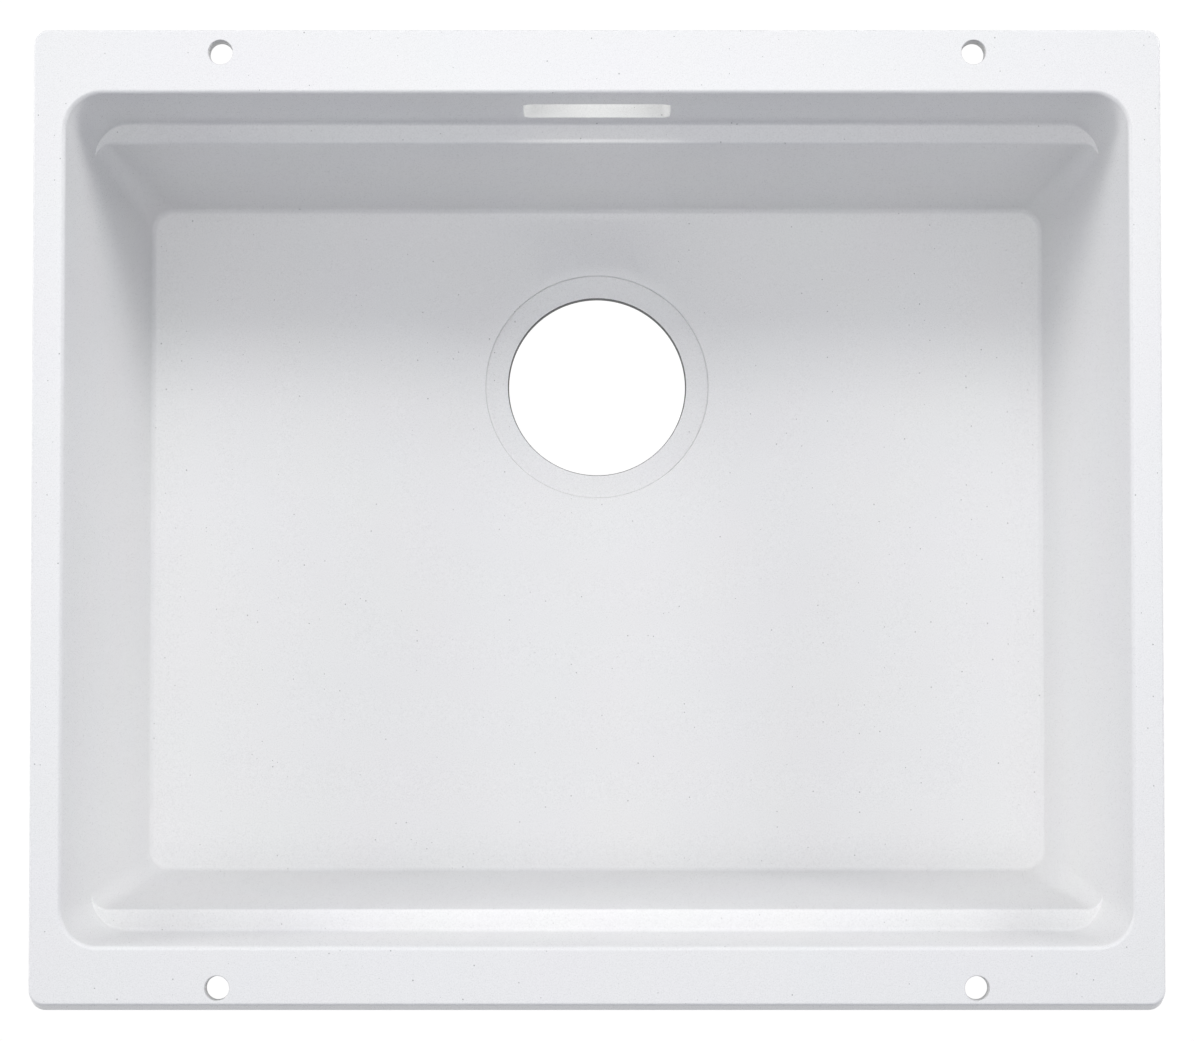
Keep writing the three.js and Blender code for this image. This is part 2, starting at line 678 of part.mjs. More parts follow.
/** The pieces on the back wall, placed and turned together by the overflow's frame. */
function overflowAssembly() {
  const assembly = new THREE.Group();
  assembly.applyMatrix4(overflowFrame());
  assembly.add(
    piece("overflow_gasket", overflowGasket(), BLACK_RUBBER),
    piece("overflow_housing", geometryOf(overflowHousing()), MILKY_PLASTIC),
  );
  SCREW_XS.forEach((x) => {
    const side = x < 0 ? "left" : "right";
    const fastening = new THREE.Group();
    fastening.position.x = x;
    fastening.add(
      piece(`threaded_insert_${side}`, threadedInsert(), BRASS),
      piece(`housing_washer_${side}`, housingWasher(), STAINLESS_STEEL),
      piece(`housing_screw_${side}`, housingScrew(), STAINLESS_STEEL),
    );
    assembly.add(fastening);
  });
  return assembly;
}

const kitchenSink = new THREE.Group();
kitchenSink.add(piece("sink_bowl", geometryOf(sinkBowl()), COMPOSITE), overflowAssembly());

export default kitchenSink;
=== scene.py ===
"""Visual model of an undermount kitchen sink, cast in white composite, with its overflow housing.

Sizes are written in millimetres and made metres where a mesh is built; the studio's are in metres.
+X runs along the worktop, +Y to the back of the sink and +Z up, as in the CAD frame.
"""

import math

import bmesh
import bpy
import numpy as np
from mathutils import Matrix, Vector


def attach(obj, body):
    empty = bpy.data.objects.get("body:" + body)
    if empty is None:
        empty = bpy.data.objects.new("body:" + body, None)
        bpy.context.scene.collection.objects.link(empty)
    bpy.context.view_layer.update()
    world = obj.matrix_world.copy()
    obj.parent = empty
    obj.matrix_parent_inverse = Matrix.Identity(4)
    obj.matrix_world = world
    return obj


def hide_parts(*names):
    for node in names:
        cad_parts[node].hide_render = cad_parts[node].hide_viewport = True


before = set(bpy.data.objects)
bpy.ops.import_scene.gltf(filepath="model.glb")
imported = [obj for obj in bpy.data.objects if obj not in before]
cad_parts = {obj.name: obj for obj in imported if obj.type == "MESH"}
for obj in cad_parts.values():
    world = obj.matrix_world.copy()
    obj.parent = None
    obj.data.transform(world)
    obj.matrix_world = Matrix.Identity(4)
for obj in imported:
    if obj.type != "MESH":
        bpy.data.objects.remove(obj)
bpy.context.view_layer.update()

MM = 0.001

# ---- Sizes of the casting ----

FLANGE_HALF_LENGTH = 265.0
FLANGE_HALF_WIDTH = 230.0
FLANGE_THICKNESS = 12.0
FLANGE_CORNER = 7.0
FLANGE_EDGE_ROUND = 1.0
FLANGE_UNDER_ROUND = 0.6
FRONT_LEAN = 2.7
FRONT_LEAN_HEIGHT = 9.5
FRONT_LEAN_START = 215.0
LEAN_CREASE = 0.4

RIM_Z = 210.0
OPENING_HALF_LENGTH = 250.0
OPENING_HALF_WIDTH = 200.0
OPENING_CORNER = 17.0
RIM_ROUND = 2.2
SIDE_SLOPE = math.tan(math.radians(7.0))
UPPER_DRAFT = math.radians(4.6)
UPPER_SLOPE = math.tan(UPPER_DRAFT)
LOWER_SLOPE = math.tan(math.radians(7.0))
LOWER_CORNER = 7.5
LOWER_CORNER_GROWTH = 0.034
FLOOR_FILLET = 3.0

LEDGE_Z = 145.5
LEDGE_WIDTH = 10.8
LEDGE_FILLET = 2.0
LEDGE_NOSE = 1.5

WALL = 9.0
FLOOR_THICKNESS = 10.0
FLOOR_EDGE_Z = 13.0
FLOOR_EDGE_INSET = 6.4
FLANGE_FILLET = 6.0
OUTER_LEDGE_FILLET = 3.0
OUTER_LEDGE_NOSE = 7.0
BASE_ROUND = 14.0
BASE_EDGE_INSET = 16.0

# Level bands beside the flange's rounded edges, which keep the rest of the flange flat.
RIM_BAND = 8.0
EDGE_BAND = 2.5
UNDER_BAND = 0.8
NECK_BAND = 5.5

DRAIN_Y = 77.6
DRAIN_RADIUS = 45.0
DRAIN_FOOT_RADIUS = 44.75
DRAIN_EDGE_ROUND = 0.3
DRAIN_LIP = 5.4
SEAT_RADIUS = 56.5
SEAT_DEPTH = 2.0
SEAT_FLARE = 0.1
SPOT_FACE = 1.0
SUMP_RADIUS = 62.5
SUMP_INSET = 20.0

FIXING_RADIUS = 5.75
FIXING_FOOT_RADIUS = 5.4
FIXING_X = 177.2
FIXING_Y = 219.5
FIXING_LIP = 0.8
HOLE_EDGE_ROUND = 0.4

SLOT_HALF_LENGTH = 35.0
SLOT_HALF_HEIGHT = 15.0
SLOT_CORNER = 4.5
SLOT_EDGE_ROUND = 0.5
SLOT_LIP = 3.0
SLOT_Z = 169.5
PAD_HEIGHT = 1.0
PAD_ROOT = 3.0
PAD_MARGIN = 1.5
PAD_CORNER = 9.0

# ---- Sizes of the overflow housing and of what holds it, as heights above the wall's outside ----

SEAT_GAP = 0.3
GASKET_BOTTOM = PAD_HEIGHT + SEAT_GAP
GASKET_TOP = GASKET_BOTTOM + 2.0
GASKET_SETBACK = 1.0
GASKET_EDGE_ROUND = 0.25
BEAD_HEIGHT = 0.15
BEAD_ROUND = 0.12
# The bead across the gasket's width: share of the width, and how far the face stands up there.
BEAD = ((0.35, 0.0), (0.45, BEAD_HEIGHT), (0.55, BEAD_HEIGHT), (0.65, 0.0))

PLATE_BOTTOM = GASKET_TOP + SEAT_GAP
PLATE_TOP = PLATE_BOTTOM + 3.0
PLATE_EDGE_ROUND = 0.6
HOUSING_WALL = 2.0
CHAMBER_TOP = PLATE_BOTTOM + 18.0
CHAMBER_HALF_LENGTH = 39.5
CHAMBER_HALF_HEIGHT = 19.5
CHAMBER_CORNER = 5.0
CHAMBER_ROUND = 3.0
CHAMBER_FILLET = 1.2
CHAMBER_LIP = 1.5
PLATE_LIP = 4.0
PLATE_HALF_LENGTH = CHAMBER_HALF_LENGTH + PLATE_LIP
PLATE_HALF_HEIGHT = CHAMBER_HALF_HEIGHT + PLATE_LIP
PLATE_CORNER = CHAMBER_CORNER + PLATE_LIP
EAR_RADIUS = 8.0
EAR_SUNK = 0.05
COLLAR_RADIUS = 7.0
RIB_THICKNESS = 1.8
RIB_SPACING = 48.0
RIB_INSET = 0.4
TAIL_Z = PLATE_BOTTOM + 9.0
TAIL_BORE = 7.0
TAIL_RADIUS = 8.75
TAIL_END = 46.5
TAIL_LIP = 1.0
BARBS = 3
BARB_LENGTH = 6.0
BARB_HEIGHT = 1.0
BARB_EDGE_ROUND = 0.25
BARB_LAND = 0.5

SCREW_X = 51.5
SCREW_RADIUS = 2.5
SCREW_CLEAR_RADIUS = SCREW_RADIUS + SEAT_GAP
THREAD_PITCH = 0.8
THREAD_DEPTH = 0.22
THREAD_RUNOUT = 0.9
RINGS_A_TURN = 10
RUNOUT_RINGS = 6
WASHER_BOTTOM = PLATE_TOP + SEAT_GAP
WASHER_TOP = WASHER_BOTTOM + 1.0
WASHER_RADIUS = 5.5
HEAD_BOTTOM = WASHER_TOP + SEAT_GAP
HEAD_TOP = HEAD_BOTTOM + 3.0
HEAD_RADIUS = 4.75
HEAD_ROUND = 1.9
RECESS_REACH = 2.35
RECESS_HALF_WIDTH = 0.42
RECESS_TAPER = 0.42
RECESS_FLOOR = 0.9
INSERT_RADIUS = SCREW_CLEAR_RADIUS + 1.1
INSERT_TOP = PAD_HEIGHT - SEAT_GAP
INSERT_BOTTOM = INSERT_TOP - 7.0
INSERT_LIP = 2.0
INSERT_GROOVE = 0.35
KNURL_DEPTH = 0.12
KNURL_CRESTS = 26
KNURL_PITCH = 4.0
KNURL_ROWS = 8
SCREW_TIP = INSERT_TOP - 6.0

# Rounding of an edge that is only broken, and of one that a mould leaves a little softer.
BROKEN = 0.3
SOFTENED = 0.4
# How far a cutter stands off the faces that it breaks through, so that its rounded lip meets them,
# and how far it goes on beyond them, wider by the size that is named a lip.
LIP_CLEARANCE = 0.02
OVERCUT = 5.0
# A ring this far inside the last one keeps a level face flat past its rounded edge.
CAP_INSET = 2.0

# The overflow's own frame: x to the right, y down the back wall, z straight out of it.
WALL_Y = OPENING_HALF_WIDTH - (RIM_Z - SLOT_Z) * UPPER_SLOPE + WALL
OVERFLOW = Matrix.Translation((0, WALL_Y, SLOT_Z)) @ Matrix.Rotation(-math.pi / 2 - UPPER_DRAFT, 4, "X")
# The tail hangs down the wall, so its own z runs along the overflow's y.
TAIL_PLACE = Matrix.Translation((0, 0, TAIL_Z)) @ Matrix.Rotation(-math.pi / 2, 4, "X")


# ---- Node trees ----


def add(tree, kind, feeds=None, **settings):
    """Adds a node with its settings, and feeds its inputs with values, with outputs, or with nodes.

    A node that is fed to an input gives its first output that is in use.
    """
    made = tree.nodes.new(kind)
    for name, value in settings.items():
        setattr(made, name, value)
    for key, value in (feeds or {}).items():
        if isinstance(value, bpy.types.Node):
            value = next(output for output in value.outputs if output.enabled)
        if isinstance(value, bpy.types.NodeSocket):
            tree.links.new(value, made.inputs[key])
        else:
            made.inputs[key].default_value = value
    return made


def mesh_tree(name, inputs):
    """A Geometry Nodes tree with the given inputs, and a mesh as what it gives."""
    tree = bpy.data.node_groups.new(name, "GeometryNodeTree")
    for label, kind in inputs.items():
        tree.interface.new_socket(label, in_out="INPUT", socket_type="NodeSocket" + kind)
    tree.interface.new_socket("Mesh", in_out="OUTPUT", socket_type="NodeSocketGeometry")
    return tree, add(tree, "NodeGroupInput").outputs


def loft_tree():
    """Geometry Nodes that carry a section round a rounded rectangle, one ring for each point.

    The section lies in the YZ plane: y is a ring's half width and z its height. Its points hold
    how far they are rounded off, and how half length and corner radius follow from y and z there.
    A ring can be drawn in to a circle round `Centre`, and a wave can run round it as a thread or
    as knurling.
    """
    inputs = {"Section": "Geometry", "Rounding steps": "Int", "Corner steps": "Int", "Side cuts": "Int"}
    inputs.update({"Closed section": "Int", "Centre": "Vector"})
    inputs.update({"Face material": "Material", "Back material": "Material"})
    tree, given = mesh_tree("loft", inputs)

    # The section, with its corners rounded off.
    rounding = add(tree, "GeometryNodeInputNamedAttribute", {"Name": "rounding"}, data_type="FLOAT")
    line = add(tree, "GeometryNodeMeshToCurve", {"Mesh": given["Section"]})
    eased = {"Curve": line, "Radius": rounding, "Limit Radius": False, "Count": given["Rounding steps"]}
    section = add(tree, "GeometryNodeFilletCurve", eased, mode="POLY")
    rows = add(tree, "GeometryNodeAttributeDomainSize", {0: section}, component="CURVE")

    # The outline: a square two units across, with small corners; its core is what they leave. Only
    # the square's own corners lie as far from its middle as the reach.
    corner_share = 0.1
    core_share = 0.9
    corner_reach = 1.4
    square = add(tree, "GeometryNodeCurvePrimitiveQuadrilateral", {"Width": 2.0, "Height": 2.0})
    cut = add(tree, "GeometryNodeSubdivideCurve", {0: square, "Cuts": given["Side cuts"]})
    here = add(tree, "GeometryNodeInputPosition")
    from_middle = add(tree, "ShaderNodeVectorMath", {0: here}, operation="LENGTH")
    at_corner = add(tree, "ShaderNodeMath", {0: from_middle, 1: corner_reach}, operation="GREATER_THAN")
    corner_radius = add(tree, "ShaderNodeMath", {0: at_corner, 1: corner_share}, operation="MULTIPLY")
    eased = {"Curve": cut, "Radius": corner_radius, "Limit Radius": False, "Count": given["Corner steps"]}
    outline = add(tree, "GeometryNodeFilletCurve", eased, mode="POLY")
    columns = add(tree, "GeometryNodeAttributeDomainSize", {0: outline}, component="CURVE")

    # A grid with a row for each ring and a column for each place round it; the last column lies
    # on the first, and on a closed section so does the last row.
    row_count = add(tree, "FunctionNodeIntegerMath", {0: rows, 1: given["Closed section"]}, operation="ADD")
    column_count = add(tree, "FunctionNodeIntegerMath", {0: columns, 1: 1}, operation="ADD")
    grid = add(tree, "GeometryNodeMeshGrid", {"Vertices X": row_count, "Vertices Y": column_count})
    index = add(tree, "GeometryNodeInputIndex")
    row_number = add(tree, "FunctionNodeIntegerMath", {0: index, 1: column_count}, operation="DIVIDE_FLOOR")
    row = add(tree, "FunctionNodeIntegerMath", {0: row_number, 1: rows}, operation="MODULO")
    column_number = add(tree, "FunctionNodeIntegerMath", {0: index, 1: column_count}, operation="MODULO")
    column = add(tree, "FunctionNodeIntegerMath", {0: column_number, 1: columns}, operation="MODULO")

    # What each ring and each place round it holds.
    held = {}
    for name in ("corner_point", "length_rule", "corner_rule", "closing", "wave"):
        layer = add(tree, "GeometryNodeInputNamedAttribute", {"Name": name}, data_type="FLOAT_VECTOR")
        sample = {"Geometry": section, "Value": layer, "Index": row}
        held[name] = add(tree, "GeometryNodeSampleIndex", sample, data_type="FLOAT_VECTOR")
    sample = {"Geometry": section, "Value": here, "Index": row}
    on_section = add(tree, "GeometryNodeSampleIndex", sample, data_type="FLOAT_VECTOR")
    sample = {"Geometry": outline, "Value": here, "Index": column}
    on_outline = add(tree, "GeometryNodeSampleIndex", sample, data_type="FLOAT_VECTOR")

    # Half length and corner radius of the ring, from how far it lies from its section's corner.
    away = add(tree, "ShaderNodeVectorMath", {0: on_section, 1: held["corner_point"]}, operation="SUBTRACT")
    terms = add(tree, "ShaderNodeVectorMath", {0: away, 1: (1, 0, 0)}, operation="ADD")
    half_length, corner = (
        add(tree, "ShaderNodeVectorMath", {0: terms, 1: held[name]}, operation="DOT_PRODUCT")
        for name in ("length_rule", "corner_rule")
    )

    # Outward direction at the place, and which corner's centre it goes with.
    low, high = (-core_share, -core_share, 0), (core_share, core_share, 0)
    raised = add(tree, "ShaderNodeVectorMath", {0: on_outline, 1: low}, operation="MAXIMUM")
    core = add(tree, "ShaderNodeVectorMath", {0: raised, 1: high}, operation="MINIMUM")
    proud = add(tree, "ShaderNodeVectorMath", {0: on_outline, 1: core}, operation="SUBTRACT")
    out = add(tree, "ShaderNodeVectorMath", {0: proud}, operation="NORMALIZE")
    to_unit = (1 / core_share, 1 / core_share, 0)
    side = add(tree, "ShaderNodeVectorMath", {0: core, 1: to_unit, 2: (0, 0, 1)}, operation="MULTIPLY_ADD")

    # Wave: depth, number of crests round the ring, and crests for each metre of height.
    wave = add(tree, "ShaderNodeSeparateXYZ", {0: held["wave"]}).outputs
    across = add(tree, "ShaderNodeSeparateXYZ", {0: out}).outputs
    height = add(tree, "ShaderNodeSeparateXYZ", {0: on_section}).outputs
    bearing = add(tree, "ShaderNodeMath", {0: across[1], 1: across[0]}, operation="ARCTAN2")
    around = add(tree, "ShaderNodeMath", {0: bearing, 1: wave[1]}, operation="MULTIPLY")
    rising = add(tree, "ShaderNodeMath", {0: height[2], 1: wave[2]}, operation="MULTIPLY")
    phase = add(tree, "ShaderNodeMath", {0: rising, 1: 2 * math.pi, 2: around}, operation="MULTIPLY_ADD")
    crest = add(tree, "ShaderNodeMath", {0: phase}, operation="COSINE")
    swell = add(tree, "ShaderNodeMath", {0: crest, 1: wave[0], 2: corner}, operation="MULTIPLY_ADD")

    # The corner's centre, and the place out from it.
    ends = add(tree, "ShaderNodeCombineXYZ", {0: half_length, 1: height[1], 2: height[2]})
    inset = add(tree, "ShaderNodeCombineXYZ", {0: corner, 1: corner})
    reach = add(tree, "ShaderNodeVectorMath", {0: ends, 1: inset}, operation="SUBTRACT")
    outwards = add(tree, "ShaderNodeVectorMath", {0: out, "Scale": swell}, operation="SCALE")
    placed = add(tree, "ShaderNodeVectorMath", {0: side, 1: reach, 2: outwards}, operation="MULTIPLY_ADD")

    # Rings that close on a circle: the share drawn in, and the circle's radius.
    closing = add(tree, "ShaderNodeSeparateXYZ", {0: held["closing"]}).outputs
    level = add(tree, "ShaderNodeCombineXYZ", {2: height[2]})
    middle = add(tree, "ShaderNodeVectorMath", {0: given["Centre"], 1: level}, operation="ADD")
    spoke = add(tree, "ShaderNodeVectorMath", {0: placed, 1: middle}, operation="SUBTRACT")
    towards = add(tree, "ShaderNodeVectorMath", {0: spoke}, operation="NORMALIZE")
    drawn = add(tree, "ShaderNodeVectorMath", {0: towards, "Scale": closing[1]}, operation="SCALE")
    on_circle = add(tree, "ShaderNodeVectorMath", {0: middle, 1: drawn}, operation="ADD")
    blend = {"Factor": closing[0], "A": placed, "B": on_circle}
    final = add(tree, "ShaderNodeMix", blend, data_type="VECTOR")

    shaped = add(tree, "GeometryNodeSetPosition", {0: grid, "Position": final})
    mark = {"Geometry": shaped, "Name": "back", "Value": closing[2]}
    marked = add(tree, "GeometryNodeStoreNamedAttribute", mark, data_type="FLOAT", domain="POINT")
    faced = add(tree, "GeometryNodeSetMaterial", {0: marked, "Material": given["Face material"]})
    back = add(tree, "GeometryNodeInputNamedAttribute", {"Name": "back"}, data_type="FLOAT")
    is_back = add(tree, "ShaderNodeMath", {0: back, 1: 0.5}, operation="GREATER_THAN")
    behind = {0: faced, "Selection": is_back, "Material": given["Back material"]}
    backed = add(tree, "GeometryNodeSetMaterial", behind)
    seamed = add(tree, "GeometryNodeMergeByDistance", {0: backed, "Distance": 2e-6})
    real = add(tree, "GeometryNodeRealizeInstances", {0: seamed})
    add(tree, "NodeGroupOutput", {0: real})
    return tree


def rib_row_tree():
    """Geometry Nodes that set copies of a web in a row along X, evenly about the middle."""
    inputs = {"Web": "Geometry", "Count": "Int", "Spacing": "Float", "Plastic": "Material"}
    tree, given = mesh_tree("rib_row", inputs)
    gaps = add(tree, "ShaderNodeMath", {0: given["Count"], 1: 1.0}, operation="SUBTRACT")
    span = add(tree, "ShaderNodeMath", {0: gaps, 1: given["Spacing"]}, operation="MULTIPLY")
    half = add(tree, "ShaderNodeMath", {0: span, 1: -0.5}, operation="MULTIPLY")
    start = add(tree, "ShaderNodeCombineXYZ", {0: half})
    step = add(tree, "ShaderNodeCombineXYZ", {0: given["Spacing"]})
    spread = {"Count": given["Count"], "Start Location": start, "Offset": step}
    row = add(tree, "GeometryNodeMeshLine", spread)
    webs = add(tree, "GeometryNodeInstanceOnPoints", {"Points": row, "Instance": given["Web"]})
    real = add(tree, "GeometryNodeRealizeInstances", {0: webs})
    made = add(tree, "GeometryNodeSetMaterial", {0: real, "Material": given["Plastic"]})
    add(tree, "NodeGroupOutput", {0: made})
    return tree


LOFT = loft_tree()
RIB_ROW = rib_row_tree()


# ---- Rings ----

PLAIN_RING = dict(drawn=0.0, circle=0.0, back=0.0, crest=0.0, crests=0, pitch=0.0)


def ring(half_length, half_width, z, corner, round_off=0.0, **more):
    """One ring of a loft: half length, half width, height, corner radius and how far it is rounded off.

    `drawn` is the share by which it is drawn in to a circle of radius `circle`. `back` marks the
    back material. `crest` is a wave's depth, `crests` how many run round the ring and `pitch` the
    height from one to the next.
    """
    sizes = dict(half_length=half_length, half_width=half_width, z=z, corner=corner, round_off=round_off)
    return {**PLAIN_RING, **sizes, **more}


def turned_ring(radius, z, round_off=0.0, **more):
    """One ring of a turned piece."""
    return ring(radius, radius, z, radius, round_off, **more)


def turned(*profile):
    """Rings of a turned piece; each point is radius, height and how far it is rounded off."""
    return [turned_ring(*point) for point in profile]


def stepped(at, out, corner_out=None):
    """The same ring moved out all round; its corner radius grows as much, unless told otherwise."""
    return dict(
        at,
        half_length=at["half_length"] + out,
        half_width=at["half_width"] + out,
        corner=at["corner"] + (out if corner_out is None else corner_out),
        round_off=0.0,
    )


def opened(rings, foot=0.0, head=0.0):
    """Rings of a cutter that goes on past a rounded lip, out of the body, at its foot, its head or both.

    `foot` and `head` are how much wider it is there; an end without a lip stays as it is.
    """
    low, high = stepped(rings[0], foot), stepped(rings[-1], head)
    below = [dict(low, z=low["z"] - OVERCUT), low] if foot else []
    above = [high, dict(high, z=high["z"] + OVERCUT)] if head else []
    return below + rings + above


def capped(rings):
    """The rings, closed at both ends by a point at the loft's centre."""
    point = dict(half_length=0.0, half_width=0.0, corner=0.0, round_off=0.0, drawn=1.0, circle=0.0)
    return [dict(rings[0], **point), *rings, dict(rings[-1], **point)]


def rule(before, here, after, size):
    """A size of a ring, and how it changes with half width and height near the ring's place."""
    legs = np.array([[n["half_width"] - here["half_width"], n["z"] - here["z"]] for n in (before, after)])
    rises = np.array([n[size] - here[size] for n in (before, after)])
    lengths = np.linalg.norm(legs, axis=1)
    flat = min(lengths) < 1e-6 or abs(np.linalg.det(legs)) < 1e-4 * lengths[0] * lengths[1]
    by_width, by_height = (0.0, 0.0) if flat else np.linalg.solve(legs, rises)
    return (here[size] * MM, by_width, by_height)


def section_mesh(name, rings, closed):
    """The line of points that the loft tree reads, one for each ring."""
    mesh = bpy.data.meshes.new(name)
    count = len(rings)
    points = [(0, r["half_width"] * MM, r["z"] * MM) for r in rings]
    edges = [(i, i + 1) for i in range(count - 1)] + ([(count - 1, 0)] if closed else [])
    mesh.from_pydata(points, edges, [])
    around = [(rings[i - 1], rings[i], rings[(i + 1) % count]) for i in range(count)]
    vectors = {
        "corner_point": points,
        "length_rule": [rule(*three, "half_length") for three in around],
        "corner_rule": [rule(*three, "corner") for three in around],
        "closing": [(r["drawn"], r["circle"] * MM, r["back"]) for r in rings],
        "wave": [(r["crest"] * MM, r["crests"], 1 / (r["pitch"] * MM) if r["pitch"] else 0) for r in rings],
    }
    for attribute, values in vectors.items():
        layer = mesh.attributes.new(attribute, "FLOAT_VECTOR", "POINT")
        layer.data.foreach_set("vector", np.array(values, dtype=np.float32).ravel())
    layer = mesh.attributes.new("rounding", "FLOAT", "POINT")
    layer.data.foreach_set("value", np.array([r["round_off"] * MM for r in rings], dtype=np.float32))
    return mesh


# ---- Meshes ----


def as_object(name, mesh):
    """A mesh as an object of the scene."""
    made = bpy.data.objects.new(name, mesh)
    bpy.context.scene.collection.objects.link(made)
    return made


def evaluated(piece):
    """The plain mesh that an object's modifiers give."""
    return bpy.data.meshes.new_from_object(piece.evaluated_get(bpy.context.evaluated_depsgraph_get()))


def formed(name, mesh, tree, sizes):
    """Runs a node tree on a mesh and keeps the plain mesh that comes out."""
    maker = as_object(name, mesh)
    modifier = maker.modifiers.new("shape", "NODES")
    modifier.node_group = tree
    sockets = {item.name: item.identifier for item in tree.interface.items_tree if item.in_out == "INPUT"}
    for size, value in sizes.items():
        modifier[sockets[size]] = value
    made = evaluated(maker)
    bpy.data.objects.remove(maker)
    while made.materials and made.materials[0] is None:
        made.materials.pop(index=0)
    return made


def in_metres(place):
    """A place whose distance is in millimetres, for a mesh in metres."""
    return Matrix.Translation(place.translation * MM) @ place.to_3x3().to_4x4()


def facing_out(mesh, place=Matrix()):
    """Points the faces outwards and sets a mesh in its place."""
    shape = bmesh.new()
    shape.from_mesh(mesh)
    bmesh.ops.dissolve_degenerate(shape, dist=1e-7, edges=shape.edges)
    bmesh.ops.recalc_face_normals(shape, faces=shape.faces)
    if shape.calc_volume(signed=True) < 0:
        bmesh.ops.reverse_faces(shape, faces=shape.faces)
    shape.transform(in_metres(place))
    shape.to_mesh(mesh)
    shape.free()
    return mesh


def lofted(name, rings, face, fineness, back=None, place=Matrix(), closed=False, centre=(0, 0, 0)):
    """A solid with a rounded rectangle for each ring, open sections being capped at the centre.

    `fineness` is the steps of a rounding, the steps of a corner and the cuts along a side.
    """
    sizes = dict(zip(("Rounding steps", "Corner steps", "Side cuts"), fineness))
    sizes["Closed section"] = int(closed)
    sizes["Centre"] = Vector(centre) * MM
    sizes["Face material"] = face
    sizes["Back material"] = back or face
    section = section_mesh(name, rings if closed else capped(rings), closed)
    return facing_out(formed(name, section, LOFT, sizes), place)


def combined(body, others, operation):
    """Joins solids to a body, or cuts them out of it, one after another."""
    for other in others:
        base = as_object("body", body)
        tool = as_object("tool", other)
        modifier = base.modifiers.new("join", "BOOLEAN")
        modifier.object = tool
        modifier.operation = operation
        modifier.solver = "MANIFOLD"
        modifier.material_mode = "TRANSFER"
        bpy.context.view_layer.update()
        body = evaluated(base)
        bpy.data.objects.remove(base)
        bpy.data.objects.remove(tool)
    return body


def prism(name, outline, half_length, material):
    """A bar along X with the given outline of (y, z) points, in millimetres."""
    shape = bmesh.new()
    ends = []
    for x in (-half_length, half_length):
        ends.append([shape.verts.new((x * MM, y * MM, z * MM)) for y, z in outline])
    first, last = ends
    shape.faces.new(first)
    shape.faces.new(last[::-1])
    for i in range(len(outline)):
        j = (i + 1) % len(outline)
        shape.faces.new((first[i], first[j], last[j], last[i]))
    mesh = bpy.data.meshes.new(name)
    shape.to_mesh(mesh)
    shape.free()
    mesh.materials.append(material)
    return facing_out(mesh)


def kept(name, mesh, node, sharp=35.0):
    """A finished piece in place of a CAD node, smooth but for its sharp edges."""
    piece = as_object(name, mesh)
    mesh.shade_smooth()
    mesh.set_sharp_from_angle(angle=math.radians(sharp))
    weighted = piece.modifiers.new("flat_faces_stay_flat", "WEIGHTED_NORMAL")
    weighted.keep_sharp = True
    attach(piece, "root")
    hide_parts(node)


# ---- Materials ----


def colour(code):
    """A hex colour, made linear."""
    shares = [int(code[i : i + 2], 16) / 255 for i in (1, 3, 5)]
    return [s / 12.92 if s <= 0.04045 else ((s + 0.055) / 1.055) ** 2.4 for s in shares] + [1.0]


def pattern(where, millimetres, **more):
    """Inputs of a pattern whose features have this size."""
    return {"Vector": where, "Scale": 1000.0 / millimetres, **more}


def new_material(name, fallback, surface):
    """A material whose shader `surface` makes; `fallback` is its colour where nodes aren't read."""
    made = bpy.data.materials.new(name)
    made.use_nodes = True
    made.node_tree.nodes.clear()
    made.diffuse_color = colour(fallback)
    add(made.node_tree, "ShaderNodeOutputMaterial", {0: surface(made.node_tree)})
    return made


def mottled(tree, dark, light, noise):
    """A noise, and the colour that it gives between two shades."""
    spread = add(tree, "ShaderNodeTexNoise", noise)
    shades = {"Factor": spread, "A": colour(dark), "B": colour(light)}
    return spread, add(tree, "ShaderNodeMix", shades, data_type="RGBA")


# Where most values of a noise lie.
NOISE_SPREAD = {"From Min": 0.3, "From Max": 0.7}


def composite_face(tree):
    """Quartz-filled acrylic composite, cast against a polished mould face.

    The resin skin gives a satin white with a very fine grain and sparse dark grains of quartz. The
    real grain is finer than the picture can show, so it is drawn as coarse as it needs to show.
    """
    where = add(tree, "ShaderNodeTexCoord").outputs["Object"]
    grain, base = mottled(tree, "#d7d7d7", "#f8f8f8", pattern(where, 0.55, Detail=2.0, Roughness=0.6))
    cloud = add(tree, "ShaderNodeTexNoise", pattern(where, 42.0, Detail=1.0))
    tint = {"Factor": 0.05, "A": base, "B": cloud.outputs["Color"]}
    clouded = add(tree, "ShaderNodeMix", tint, data_type="RGBA", blend_type="SOFT_LIGHT")
    # One cell in five holds a dark grain, and its size goes with the cell.
    cells = add(tree, "ShaderNodeTexVoronoi", pattern(where, 2.6, Randomness=1.0))
    chosen = add(tree, "ShaderNodeSeparateColor", {0: cells.outputs["Color"]})
    size = {"Value": chosen, "From Min": 0.80, "From Max": 1.0, "To Min": 0.0, "To Max": 0.14}
    rare = add(tree, "ShaderNodeMapRange", size)
    speck = add(tree, "ShaderNodeMath", {0: cells.outputs["Distance"], 1: rare}, operation="LESS_THAN")
    dark = add(tree, "ShaderNodeMath", {0: speck, 1: 0.6}, operation="MULTIPLY")
    quartz = {"Factor": dark, "A": clouded, "B": colour("#5e5d5c")}
    specked = add(tree, "ShaderNodeMix", quartz, data_type="RGBA")
    gloss = add(tree, "ShaderNodeMapRange", {**NOISE_SPREAD, "Value": grain, "To Min": 0.26, "To Max": 0.36})
    bump = add(tree, "ShaderNodeBump", {"Height": grain, "Strength": 0.12, "Distance": 0.00006})
    skin = {"Base Color": specked, "Roughness": gloss, "IOR": 1.5, "Normal": bump}
    return add(tree, "ShaderNodeBsdfPrincipled", skin)


